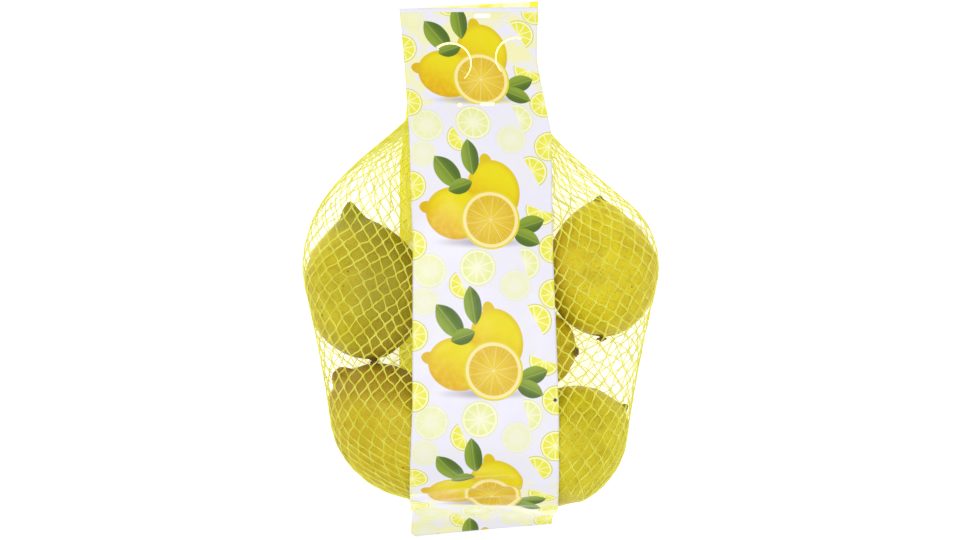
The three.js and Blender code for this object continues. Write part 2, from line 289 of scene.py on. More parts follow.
@dataclass(frozen=True)
class PeelFinish:
    """Lemon peel: yellow with broad deeper patches, fine pores, dry patches and a few dark specks, and
    painted shade and painted light on some sides and in one dark patch.
    """

    name: str
    light: Colour = srgb(226, 210, 24)
    deep: Colour = srgb(212, 192, 20)
    pit: Colour = srgb(168, 142, 34)
    speck: Colour = srgb(84, 70, 30)
    painted_lights_and_tints: tuple[PaintedLightAndTint, ...] = ()
    scars_and_shades: tuple[ScarAndShade, ...] = ()
    mottle: float = 0.26
    patch_scale: float = 38.0
    patch_edge: Pair = (0.36, 0.66)
    mottle_scale: float = 150.0
    mottle_edge: Pair = (0.46, 0.74)
    pore_scale: float = 720.0
    pore_width: float = 0.35
    pore_tone: float = 0.3
    pore_slope: Pair = (0.05, 0.45)
    pore_depth: float = 0.24
    speck_scale: float = 170.0
    speck_edge: Pair = (0.06, 0.13)
    speck_tone: float = 0.8
    rare_scale: float = 83.6
    rare_edge: Pair = (0.5, 0.58)
    swell_scale: float = 152.0
    swell_depth: float = 0.35
    waver_scale: float = 55.0
    waver: float = 14.0
    ragged_scale: float = 420.0
    ragged: float = 1.1
    scar_and_shade_edge: Pair = (0.95, 1.5)
    roughness: float = 0.5
    gloss: float = 0.2

    def build(self, middle: Vector, heading: float) -> bpy.types.Material:
        """Makes the peel's material.

        Args:
            middle: The lemon's middle, in metres.
            heading: Direction of its tip, in degrees from +X.

        Returns:
            The material.
        """
        graph = Graph(self.name)
        patches = graph.ramp(graph.noise(self.patch_scale, 3.0), *self.patch_edge)
        colour = graph.mix(patches, self.light, self.deep)
        # Painted shade and painted light on some sides, and the peel's own tints.
        for light_and_tint in self.painted_lights_and_tints:
            colour = graph.mix(self.painted_light_and_tint_mask(graph, light_and_tint, middle), colour, light_and_tint.colour)
        mottles = graph.ramp(graph.noise(self.mottle_scale, 4.0), *self.mottle_edge, (0.0, self.mottle))
        colour = graph.mix(mottles, colour, self.pit)
        pores = graph.cells(self.pore_scale)
        pits = graph.ramp(pores, 0.0, self.pore_width, (self.pore_tone, 0.0))
        colour = graph.mix(pits, colour, self.pit)
        # Dark patches, one of them partly painted shade.
        for scar_and_shade in self.scars_and_shades:
            colour = graph.mix(self.scar_and_shade_mask(graph, scar_and_shade, middle, heading), colour, scar_and_shade.colour)
        spots = graph.ramp(graph.cells(self.speck_scale), *self.speck_edge, (self.speck_tone, 0.0))
        rare = graph.ramp(graph.noise(self.rare_scale), *self.rare_edge)
        colour = graph.mix(graph.math("MULTIPLY", spots, rare), colour, self.speck)
        swell = graph.bump(graph.noise(self.swell_scale, 3.0), self.swell_depth * MM)
        normal = graph.bump(graph.ramp(pores, *self.pore_slope), self.pore_depth * MM, swell)
        gloss = {"Roughness": self.roughness, "Specular_IOR_Level": self.gloss}
        return graph.dress(Base_Color=colour, Normal=normal, **gloss)

    def painted_light_and_tint_mask(self, graph: Graph, light_and_tint: PaintedLightAndTint, middle: Vector) -> bpy.types.NodeSocket:
        """Finds the far part of a side that gets painted shade, painted light or a tint, with a wavering
        border.

        Args:
            graph: The peel's graph.
            light_and_tint: The side's colour, heading and reach.
            middle: The lemon's middle, in metres.

        Returns:
            A socket that is 1 there.
        """
        turn = math.radians(light_and_tint.heading)
        toward = Vector((math.cos(turn), math.sin(turn), 0.0))
        dot = graph.add("VectorMath", {0: graph.place(), 1: toward}, operation="DOT_PRODUCT")
        waver = graph.math("MULTIPLY", graph.noise(self.waver_scale, 3.0), self.waver * MM)
        start = toward.dot(middle) + (light_and_tint.start + self.waver / 2) * MM
        end = start + (light_and_tint.end - light_and_tint.start) * MM
        return graph.ramp(graph.math("ADD", dot.outputs["Value"], waver), start, end, (0.0, light_and_tint.strength))

    def scar_and_shade_mask(self, graph: Graph, scar_and_shade: ScarAndShade, middle: Vector, heading: float) -> bpy.types.NodeSocket:
        """Finds the middle of a dark patch, with a ragged border.

        Args:
            graph: The peel's graph.
            scar_and_shade: The patch.
            middle: The lemon's middle, in metres.
            heading: Direction of its tip, in degrees from +X.

        Returns:
            A socket that is the patch's strength there.
        """
        lean = Matrix.Rotation(math.radians(heading), 3, "Z")
        centre = middle + lean @ Vector((scar_and_shade.along, scar_and_shade.across, scar_and_shade.up)) * MM
        half = tuple(size * MM for size in scar_and_shade.half)
        reach = graph.reach(graph.local(graph.place(), tuple(centre), half, heading))
        stray = graph.math("MULTIPLY", graph.noise(self.ragged_scale, 4.0), self.ragged)
        return graph.ramp(graph.math("ADD", reach, stray), *self.scar_and_shade_edge, (scar_and_shade.strength, 0.0))


@dataclass(frozen=True)
class StemFinish:
    """Dry brown stem button."""

    dark: Colour = srgb(92, 68, 34)
    light: Colour = srgb(150, 122, 66)
    grain_scale: float = 900.0
    grain_edge: Pair = (0.35, 0.65)
    grain_depth: float = 0.15
    roughness: float = 0.85

    def build(self) -> bpy.types.Material:
        """Returns the stem's material."""
        graph = Graph("dry_stem")
        grain = graph.ramp(graph.noise(self.grain_scale, 4.0), *self.grain_edge)
        colour = graph.mix(grain, self.dark, self.light)
        normal = graph.bump(grain, self.grain_depth * MM)
        return graph.dress(Base_Color=colour, Roughness=self.roughness, Normal=normal)


@dataclass(frozen=True)
class YarnFinish:
    """Yellow plastic yarn with paler stretches, which lets some light through and glows a little with its
    own colour as painted light.
    """

    light: Colour = srgb(231, 231, 104)
    deep: Colour = srgb(221, 217, 64)
    # Painted light: the yarn glows with its own colour, so strands in shade stay bright.
    glow: float = 0.23
    cover: float = 0.5
    patch_scale: float = 120.0
    patch_edge: Pair = (0.35, 0.65)
    fibre_scale: float = 2600.0
    fibre_depth: float = 0.1
    roughness: float = 0.5

    def build(self) -> bpy.types.Material:
        """Returns the yarn's material."""
        graph = Graph("net_yarn")
        patches = graph.ramp(graph.noise(self.patch_scale, 2.0), *self.patch_edge)
        fibres = graph.noise(self.fibre_scale, 2.0)
        colour = graph.mix(patches, self.light, self.deep)
        # Painted light: the yarn's colour also glows; Alpha lets some light through.
        light = {"Emission_Color": colour, "Emission_Strength": self.glow, "Alpha": self.cover}
        normal = graph.bump(fibres, self.fibre_depth * MM)
        return graph.dress(Base_Color=colour, Roughness=self.roughness, Normal=normal, **light)


# ---- The printed film: flat shapes in millimetres ------------------------------------------


class Sketch(Graph):
    """A material painted with flat shapes, placed in millimetres on the unrolled band."""

    def __init__(self, name: str, ground: object, repeat: float) -> None:
        """Starts a sketch on a plain ground.

        Args:
            name: The material's name.
            ground: The film's own colour.
            repeat: Length of the print's repeat, in millimetres.
        """
        super().__init__(name)
        self.colour = ground
        chart = self.split(self.add("UVMap", uv_map="unrolled").outputs[0])
        self.across = self.math("MULTIPLY", chart[0], repeat)
        self.run = self.math("MULTIPLY", chart[1], repeat)
        self.repeat = repeat
        self.stencil: bpy.types.NodeSocket | None = None
        self.band = self.add("CombineXYZ", {0: self.across, 1: self.run}).outputs[0]

    def shape(self, x: float, y: float, half: Pair, turn: float) -> bpy.types.NodeSocket:
        """Coordinates in the frame of a shape that comes back whole in each repeat.

        Args:
            x: Its middle across the band.
            y: Its middle along the repeat.
            half: Its half sizes, which become 1.
            turn: Its turn, in degrees.

        Returns:
            The coordinates' socket.
        """
        ahead = self.math("ADD", self.run, self.repeat / 2 - y)
        along = self.math("SUBTRACT", self.math("FLOORED_MODULO", ahead, self.repeat), self.repeat / 2)
        place = self.add("CombineXYZ", {0: self.across, 1: along}).outputs[0]
        return self.local(place, (x, 0.0, 0.0), (*half, 1.0), turn)

    def inside(self, value: object, limit: float = 1.0, soft: float = 0.02) -> bpy.types.NodeSocket:
        """1 where value is under limit, with a soft edge."""
        return self.ramp(value, limit - soft, limit + soft, (1.0, 0.0))

    def paint(self, mask: object, colour: object) -> None:
        """Paints a colour over the sketch.

        Args:
            mask: 1 where the colour goes, if the stencil, where there is one, is open there.
            colour: The colour or its socket.
        """
        if self.stencil is not None:
            mask = self.math("MULTIPLY", mask, self.stencil)
        self.colour = self.mix(mask, self.colour, colour)


@dataclass(frozen=True)
class SliceInks:
    """Inks of a cut lemon, how wide the gaps between its wedges are, and how streaky they are."""

    rim: Colour = srgb(204, 204, 36)
    pith: Colour = srgb(244, 243, 190)
    pulp: Colour = srgb(228, 225, 14)
    heart: Colour = srgb(236, 232, 60)
    gap: float = 0.034
    streaks: float = 0.45


class SliceLook(Enum):
    """The kinds of cut lemon in the print."""

    FRESH = SliceInks()
    PALE = SliceInks(srgb(226, 228, 160), srgb(242, 242, 216), srgb(226, 231, 138), srgb(238, 239, 190))
    GOLD = SliceInks(
        srgb(222, 208, 44), srgb(246, 228, 158), srgb(218, 182, 18), srgb(228, 198, 44), 0.006, 0.28
    )


@dataclass(frozen=True)
class FruitSlice:
    """A cut lemon seen face on: rim, pith and wedges of pulp, whole or halved."""

    x: float
    y: float
    radius: float
    turn: float = 0.0
    look: SliceLook = SliceLook.FRESH
    strength: float = 1.0
    halved: bool = False
    wedges: int = 9
    pith_reach: float = 0.94
    pulp_reach: float = 0.83
    edge: float = 0.14
    gap_edge: Pair = (0.4, 1.6)
    heart_edge: Pair = (0.1, 0.78)
    rays: float = 9.0
    ray_scale: float = 1.4
    ray_edge: Pair = (0.42, 0.7)

    def draw(self, sketch: Sketch) -> None:
        """Paints the slice.

        Args:
            sketch: The sketch to paint on.
        """
        inks = self.look.value
        local = sketch.shape(self.x, self.y, (self.radius, self.radius), self.turn)
        reach = sketch.reach(local)
        across, along, _ = sketch.split(local)
        soft = self.edge / self.radius
        part = sketch.ramp(along, -soft, soft, (0.0, self.strength)) if self.halved else self.strength
        angle = sketch.math("ARCTAN2", along, across)
        turns = sketch.math("MULTIPLY", angle, self.wedges / (2 * math.pi))
        offset = sketch.math("PINGPONG", turns, 0.5)
        gap = sketch.math("MULTIPLY", sketch.math("MULTIPLY", offset, reach), 2 * math.pi / self.wedges)
        wedge = sketch.ramp(gap, *(inks.gap * part for part in self.gap_edge))
        pulp = sketch.math("MULTIPLY", sketch.inside(reach, self.pulp_reach, soft), wedge)
        rays = sketch.add("CombineXYZ", {0: sketch.math("MULTIPLY", angle, self.rays), 1: reach}).outputs[0]
        shade = sketch.mix(sketch.ramp(reach, *self.heart_edge), inks.heart, inks.pulp)
        grain = sketch.noise(self.ray_scale, 3.0, rays)
        streaks = sketch.ramp(grain, *self.ray_edge, (0.0, inks.streaks))
        shade = sketch.mix(streaks, shade, inks.pith)
        for mask, colour in (
            (sketch.inside(reach, 1.0, soft), inks.rim),
            (sketch.inside(reach, self.pith_reach, soft), inks.pith),
            (pulp, shade),
        ):
            sketch.paint(sketch.math("MULTIPLY", mask, part), colour)


@dataclass(frozen=True)
class WholeFruit:
    """A whole lemon with its nipple, lit from above and warm below."""

    x: float
    y: float
    length: float
    width: float
    turn: float
    low: Colour = srgb(222, 172, 8)
    high: Colour = srgb(230, 214, 12)
    rim: Colour = srgb(206, 162, 12)
    nipple_place: float = 0.94
    nipple: Pair = (0.3, 0.24)
    light_turn: float = -24.0
    light_run: Pair = (-0.46, 0.3)
    mottle_scale: float = 0.3
    mottle_edge: Pair = (0.4, 0.7)
    mottle_tone: float = 0.45
    rim_edge: Pair = (0.76, 1.05)
    rim_tone: float = 0.5

    def draw(self, sketch: Sketch) -> None:
        """Paints the lemon.

        Args:
            sketch: The sketch to paint on.
        """
        half = (self.length / 2, self.width / 2)
        lean = math.radians(self.turn)
        tip = half[0] * self.nipple_place
        tip_x = self.x + tip * math.cos(lean)
        tip_y = self.y + tip * math.sin(lean)
        bud_half = (half[0] * self.nipple[0], half[1] * self.nipple[1])
        bud = sketch.shape(tip_x, tip_y, bud_half, self.turn)
        reach = sketch.reach(sketch.shape(self.x, self.y, half, self.turn))
        outline = sketch.math("MINIMUM", reach, sketch.reach(bud))
        slant = sketch.shape(self.x, self.y, (1.0, 1.0), self.light_turn)
        lift = sketch.ramp(sketch.split(slant)[1], *(self.width * part for part in self.light_run))
        glow = sketch.mix(lift, self.low, self.high)
        patches = sketch.noise(self.mottle_scale, 3.0, slant)
        mottle = sketch.ramp(patches, *self.mottle_edge, (0.0, self.mottle_tone))
        glow = sketch.mix(mottle, glow, self.high)
        glow = sketch.mix(sketch.ramp(reach, *self.rim_edge, (0.0, self.rim_tone)), glow, self.rim)
        sketch.paint(sketch.inside(outline, 1.0, 0.015), glow)


@dataclass(frozen=True)
class Leaf:
    """A pointed leaf with a pale midrib, darker on one side of it."""

    x: float
    y: float
    length: float
    width: float
    turn: float
    dark: Colour = srgb(80, 108, 34)
    light: Colour = srgb(136, 160, 50)
    rib: Colour = srgb(144, 166, 66)
    point: float = 2.4
    shade_edge: Pair = (-0.6, 0.7)
    rib_half: float = 0.05

    def draw(self, sketch: Sketch) -> None:
        """Paints the leaf.

        Args:
            sketch: The sketch to paint on.
        """
        local = sketch.shape(self.x, self.y, (self.length / 2, self.width / 2), self.turn)
        across, along, _ = sketch.split(local)
        taper = sketch.math("POWER", sketch.math("ABSOLUTE", across), self.point)
        side = sketch.math("ABSOLUTE", along)
        blade = sketch.inside(sketch.math("ADD", taper, side), 1.0, 0.04)
        tone = sketch.mix(sketch.ramp(along, *self.shade_edge), self.dark, self.light)
        vein = sketch.mix(sketch.inside(side, self.rib_half, 0.06), tone, self.rib)
        sketch.paint(blade, vein)


@dataclass(frozen=True)
class SoftShadow:
    """A soft grey-lilac shade under the fruit."""

    x: float
    y: float
    length: float
    width: float
    colour: Colour = srgb(170, 162, 176)
    strength: float = 0.8
    fade: Pair = (0.2, 1.0)

    def draw(self, sketch: Sketch) -> None:
        """Paints the shade on a sketch."""
        local = sketch.shape(self.x, self.y, (self.length / 2, self.width / 2), 0.0)
        sketch.paint(sketch.ramp(sketch.reach(local), *self.fade, (self.strength, 0.0)), self.colour)


@dataclass(frozen=True)
class Panel:
    """A bare panel with round corners, placed on the band and not repeated."""

    x: float
    run: float
    width: float
    length: float
    colour: Colour
    squareness: float = 8.0

    def draw(self, sketch: Sketch) -> None:
        """Paints the panel.

        Args:
            sketch: The sketch to paint on.
        """
        half = (self.width / 2, self.length / 2, 1.0)
        parts = sketch.split(sketch.local(sketch.band, (self.x, self.run, 0.0), half, 0.0))[:2]
        corners = [sketch.math("POWER", sketch.math("ABSOLUTE", part), self.squareness) for part in parts]
        sketch.paint(sketch.inside(sketch.math("ADD", *corners), 1.0, 0.05), self.colour)


Motif = FruitSlice | WholeFruit | Leaf | SoftShadow | Panel

WHITE_FILM = srgb(231, 229, 243)


@dataclass(frozen=True)
class PrintFinish:
    """Glossy film with a repeating print: loose slices, and a bunch of fruit over them. It glows a little
    with its print's colours, as painted light.

    The label's print runs up to label_top. The header's lies above that, some repeats on.
    """

    name: str
    slices: tuple[Motif, ...]
    bunch: tuple[Motif, ...] = ()
    ground: Colour = WHITE_FILM
    tint: Colour = srgb(240, 238, 160)
    ink: Colour = srgb(74, 70, 66)
    repeat: float = 80.0
    label_top: float = 130.0
    label_bare: float = 86.0
    tail: float = -112.0
    tail_fade: float = 8.0
    edge: float = 0.1
    tint_scale: float = 0.09
    tint_edge: Pair = (0.38, 0.62)
    tint_tone: Pair = (0.1, 0.8)
    mark_half: float = 1.25
    mark_turn: float = 45.0
    wrinkle_scale: float = 60.0
    wrinkle_depth: float = 0.9
    roughness: float = 0.24
    gloss: float = 0.3
    # Painted light: the film glows with its print's colours, so shaded film stays bright.
    glow: float = 0.06

    def past(self, sketch: Sketch, place: float, out: tuple = (0.0, 1.0)) -> bpy.types.NodeSocket:
        """Goes from out[0] to out[1] at a place along the print, and returns the socket."""
        return sketch.ramp(sketch.run, place - self.edge, place + self.edge, out)

    def build(self, bare_above: float, mark: Pair | None) -> bpy.types.Material:
        """Makes the film's material.

        Args:
            bare_above: Place along the print above which the film is bare.
            mark: Place across and along the print of the small registration mark, if any.

        Returns:
            The material.
        """
        sketch = Sketch(self.name, self.ground, self.repeat)
        header = self.past(sketch, self.label_top)
        tail = sketch.ramp(sketch.run, self.tail - self.tail_fade, self.tail, (1.0, 0.0))
        ends = sketch.math("MAXIMUM", header, tail)
        patches = sketch.ramp(sketch.noise(self.tint_scale, 2.0, sketch.band), *self.tint_edge)
        tone = sketch.ramp(ends, 0.0, 1.0, self.tint_tone)
        sketch.paint(sketch.math("MULTIPLY", patches, tone), self.tint)
        for motif in self.slices:
            motif.draw(sketch)
        below = self.past(sketch, self.label_bare, (1.0, 0.0))
        sketch.stencil = sketch.math("MAXIMUM", below, header)
        for motif in self.bunch:
            motif.draw(sketch)
        sketch.stencil = None
        if mark:
            half = (self.mark_half, self.mark_half, 1.0)
            sides = sketch.split(sketch.local(sketch.band, (*mark, 0.0), half, self.mark_turn))[:2]
            square = sketch.math("MAXIMUM", *(sketch.math("ABSOLUTE", side) for side in sides))
            sketch.paint(sketch.inside(square, 0.7, 0.08), self.ink)
        sketch.paint(self.past(sketch, bare_above), self.ground)
        normal = sketch.bump(sketch.noise(self.wrinkle_scale, 2.0), self.wrinkle_depth * MM)
        # Painted light: the print's colours also glow.
        light = {"Emission_Color": sketch.colour, "Emission_Strength": self.glow}
        gloss = {"Roughness": self.roughness, "Specular_IOR_Level": self.gloss}
        return sketch.dress(Base_Color=sketch.colour, Normal=normal, **gloss, **light)


FRONT_SLICES = (
    FruitSlice(10.0, 2.5, 9.4, 12.0, SliceLook.PALE, 0.55),
    FruitSlice(36.0, 4.0, 9.8, 22.0, SliceLook.PALE, 0.95),
    FruitSlice(56.0, 74.5, 8.4, 12.0, SliceLook.PALE, 0.4),
    FruitSlice(7.0, 66.0, 7.8, 40.0, SliceLook.PALE, 0.35),
    FruitSlice(61.0, 6.0, 8.6, -75.0, SliceLook.PALE, 0.95, halved=True),
    FruitSlice(28.0, 75.0, 7.6, 118.0, halved=True),
    FruitSlice(0.5, 48.0, 8.4, 250.0),
    FruitSlice(76.5, 70.0, 8.0, 30.0),
    FruitSlice(66.5, 56.0, 8.8, -62.0, halved=True),
    FruitSlice(71.0, 35.0, 8.4, 160.0, halved=True),
    FruitSlice(0.8, 16.0, 8.2, 70.0),
    FruitSlice(76.8, 14.0, 7.8, 10.0),
)

FRONT_BUNCH = (
    SoftShadow(40.0, 17.5, 62.0, 7.5),
    Leaf(64.5, 27.0, 17.0, 9.4, 18.0),
    Leaf(62.5, 20.0, 16.0, 9.0, -24.0),
    WholeFruit(45.5, 45.5, 34.0, 28.0, 104.0),
    WholeFruit(24.5, 33.0, 32.0, 28.0, 168.0),
    Leaf(20.5, 55.5, 23.0, 11.6, 128.0),
    Leaf(33.0, 64.0, 21.0, 9.4, 98.0),
    Leaf(27.5, 47.5, 14.0, 8.4, 20.0),
    FruitSlice(43.5, 29.5, 15.8, 10.0, SliceLook.GOLD, wedges=10),
)

BACK_SLICES = (
    FruitSlice(14.0, 14.0, 9.5, 12.0, SliceLook.PALE, 0.5),
    FruitSlice(58.0, 34.0, 10.5, 40.0, SliceLook.PALE, 0.5),
    FruitSlice(22.0, 58.0, 10.0, 70.0, SliceLook.PALE, 0.5, halved=True),
    FruitSlice(66.0, 72.0, 8.0, 20.0, SliceLook.PALE, 0.5),
    Panel(39.0, -25.0, 56.0, 96.0, WHITE_FILM),
    Panel(39.0, -143.0, 120.0, 16.0, WHITE_FILM),
)


# ---- Mesh helpers --------------------------------------------------------------------------


def linked(name: str, data: bpy.types.ID) -> bpy.types.Object:
    """Makes an object and links it to the scene.

    Args:
        name: The object's name.
        data: Its mesh, curve, camera or light.

    Returns:
        The object.
    """
    made = bpy.data.objects.new(name, data)
    bpy.context.scene.collection.objects.link(made)
    return made


def to_object(bm: bmesh.types.BMesh, name: str, material: bpy.types.Material) -> bpy.types.Object:
    """Makes a smooth-shaded object from a bmesh and frees the bmesh.

    Args:
        bm: The mesh, in the frame of the model.
        name: The piece's name.
        material: Its material.

    Returns:
        The linked object.
    """
    mesh = bpy.data.meshes.new(name)
    for face in bm.faces:
        face.smooth = True
    bm.to_mesh(mesh)
    bm.free()
    mesh.materials.append(material)
    return linked(name, mesh)


def applied(piece: bpy.types.Object) -> None:
    """Applies all of a piece's modifiers to its mesh.

    Args:
        piece: The piece.
    """
    depsgraph = bpy.context.evaluated_depsgraph_get()
    done = bpy.data.meshes.new_from_object(piece.evaluated_get(depsgraph))
    piece.modifiers.clear()
    piece.data = done


def settle(piece: bpy.types.Object, slot: Slot, *nodes: str) -> None:
    """Rides a piece on the pack, hides the nodes it stands for, and reports its triangles.

    Args:
        piece: The piece.
        slot: The record's slot that its finish comes from; not used.
        *nodes: The CAD nodes that it stands for.
    """
    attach(piece, BODY)
    if nodes:
        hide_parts(*nodes)
    triangles = sum(len(face.vertices) - 2 for face in piece.data.polygons)
    log.info("%s: %d triangles", piece.name, triangles)


def surface_tree(node: str) -> BVHTree:
    """A search tree of a CAD node's surface.

    Args:
        node: The node's name.

    Returns:
        The tree, in the frame of the model.
    """
    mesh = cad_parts[node].data
    points = [vertex.co.copy() for vertex in mesh.vertices]
    return BVHTree.FromPolygons(points, [tuple(face.vertices) for face in mesh.polygons])


def spun(profile: list[Pair], steps: int) -> bmesh.types.BMesh:
    """Spins a profile about the X axis into a closed body.

    Args:
        profile: Places along the axis and distances from it, in millimetres, 0 at both ends.
        steps: Faces round the axis.

    Returns:
        The mesh, in metres.
    """
    bm = bmesh.new()
    points = [bm.verts.new((along * MM, 0.0, out * MM)) for along, out in profile]
    edges = [bm.edges.new(pair) for pair in zip(points, points[1:])]
    turn = {"cent": (0, 0, 0), "axis": (1, 0, 0), "angle": 2 * math.pi}
    bmesh.ops.spin(bm, geom=points + edges, steps=steps, use_merge=True, **turn)
    bmesh.ops.remove_doubles(bm, verts=bm.verts, dist=SAME_POINT)
    bmesh.ops.recalc_face_normals(bm, faces=bm.faces)
    return bm


# ---- Lemons --------------------------------------------------------------------------------


@dataclass(frozen=True)
class End:
    """One half of a lemon: a body that narrows like a blunt cone or a bowl, and a bud on its end."""

    body: float
    reach: float
    bud: float
    power: float = 1.9
    root: float = 0.8
    taper: float = 0.5
    overlap: float = 12.0
    blend: float = 2.4

    def radius(self, along: float, widest: float) -> float:
        """Radius of the peel.

        Args:
            along: Distance from the lemon's middle.
            widest: Radius at the middle.

        Returns:
            The radius there, all in millimetres.
        """
        body = widest * max(0.0, 1 - (along / self.body) ** self.power) ** self.root
        start = self.body - self.overlap
        share = min(1.0, max(0.0, (along - start) / (self.reach - start)))
        bud = self.bud * (1 - share) ** self.taper
        return (body**self.blend + bud**self.blend) ** (1 / self.blend)


def bowl(body: float, reach: float, bud: float) -> End:
    """An end that is rounded like a bowl."""
    return End(body, reach, bud, power=2.1, root=0.5)


@dataclass
class Lemon:
    """One lemon on its side, with a nipple at its tip and a button at its stem end."""

    name: str
    x: float
    y: float
    heading: float
    radius: float
    tip: End
    stem: End
    finish: PeelFinish
    seed: int
    pitch: float = 0.0
    ground: float = 2.0
    rings: int = 96
    spokes: int = 128
    bumps: tuple[Pair, ...] = ((34.0, 1.25), (120.0, 0.22), (300.0, 0.1))
    shrink: float = 0.5
    furrows: int = 7
    furrow_depth: float = 0.34
    furrow_scale: float = 60.0
    tip_run: Pair = (0.55, 0.85)
    stem_run: Pair = (0.7, 0.92)
    tuck_gap: float = 0.45

    @property
    def middle(self) -> Vector:
        """Middle of the lemon's body."""
        return spot(self.x, self.y, self.ground + self.radius)

    @property
    def lean(self) -> Matrix:
        """Turn of the lemon from the X axis."""
        heading = Matrix.Rotation(math.radians(self.heading), 4, "Z")
        return heading @ Matrix.Rotation(math.radians(self.pitch), 4, "Y")

    def build(self, skin: BVHTree) -> bpy.types.Object:
        """Makes the lemon.

        Args:
            skin: The net's surface, which the lemon stays inside.

        Returns:
            The lemon's object.
        """
        half = (self.tip.reach + self.stem.reach) / 2
        profile = []
        for ring in range(self.rings + 1):
            along = half - self.stem.reach - half * math.cos(math.pi * ring / self.rings)
            end = self.tip if along > 0 else self.stem
            pole = ring in (0, self.rings)
            profile.append((along, 0.0 if pole else end.radius(abs(along), self.radius)))
        bm = spun(profile, self.spokes)
        self.roughen(bm)
        roll = Matrix.Rotation(self.seed * 1.7, 4, "X")
        move = Matrix.Translation(self.middle) @ self.lean @ roll
        bmesh.ops.transform(bm, matrix=move, verts=bm.verts)
        self.tuck(bm, skin)
        return to_object(bm, self.name, self.finish.build(self.middle, self.heading))

    def roughen(self, bm: bmesh.types.BMesh) -> None:
        """Makes the lemon uneven: broad facets, small dimples, and furrows towards both ends.

        Args:
            bm: The lemon's mesh, along the X axis.
        """
        bm.normal_update()
        shift = Vector((self.seed * 7.3, self.seed * 3.1, 0.0))
        moves = []
        for vert in bm.verts:
            along = vert.co.x / MM
            depth = sum(size * noise.noise(vert.co * scale + shift) for scale, size in self.bumps)
            angle = math.atan2(vert.co.z, vert.co.y)
            ends = smoothstep(along / self.tip.reach, *self.tip_run)
            ends += smoothstep(-along / self.stem.reach, *self.stem_run)
            wander = 3 * noise.noise(vert.co * self.furrow_scale + shift)
            furrow = math.sin(self.furrows * angle + wander) - 0.5
            depth += self.furrow_depth * ends * furrow - self.shrink
            moves.append(vert.normal * depth * MM)
        for vert, move in zip(bm.verts, moves):
            vert.co += move

    def tuck(self, bm: bmesh.types.BMesh, skin: BVHTree) -> None:
        """Presses what would stand out of the net back under its skin.

        Args:
            bm: The lemon's mesh, in its place.
            skin: The net's surface.
        """
        for vert in bm.verts:
            near, normal = skin.find_nearest(vert.co)[:2]
            if (vert.co - near).dot(normal) > -self.tuck_gap * MM:
                vert.co = near - normal * self.tuck_gap * MM


@dataclass
class StemButton:
    """The dry brown button and its star of sepals at a lemon's stem end."""

    lemon: Lemon
    material: bpy.types.Material
    radius: float = 2.6
    height: float = 1.3
    lobes: int = 5
    lobe_depth: float = 0.16
    wobble: float = 0.3
    wobble_scale: float = 900.0
    sink: float = 0.5
    steps: int = 40

    def build(self) -> bpy.types.Object:
        """Returns the button's object."""
        rim, top = self.radius, self.height
        profile = [(-1.2, 0.0), (-0.8, rim * 0.7), (-0.1, rim), (0.3, rim * 0.96), (0.5, rim * 0.8)]
        profile += [(0.42, rim * 0.55), (top * 0.8, rim * 0.42), (top, rim * 0.26), (top * 0.85, 0.0)]
        bm = spun(profile, self.steps)
        for vert in bm.verts:
            angle = math.atan2(vert.co.z, vert.co.y)
            lobe = 1 + self.lobe_depth * math.cos(self.lobes * angle + self.lemon.seed)
            place = vert.co * self.wobble_scale + Vector((self.lemon.seed, 0, 0))
            wobble = 1 + self.wobble * noise.noise(place)
            vert.co.y *= lobe * wobble
            vert.co.z *= lobe * wobble
        end = Vector((self.sink - self.lemon.stem.reach, 0, 0)) * MM
        out = Matrix.Translation(end) @ Matrix.Rotation(math.pi, 4, "Z")
        move = Matrix.Translation(self.lemon.middle) @ self.lemon.lean @ out
        bmesh.ops.transform(bm, matrix=move, verts=bm.verts)
        return to_object(bm, self.lemon.name + "_stem", self.material)


# ---- Net -----------------------------------------------------------------------------------


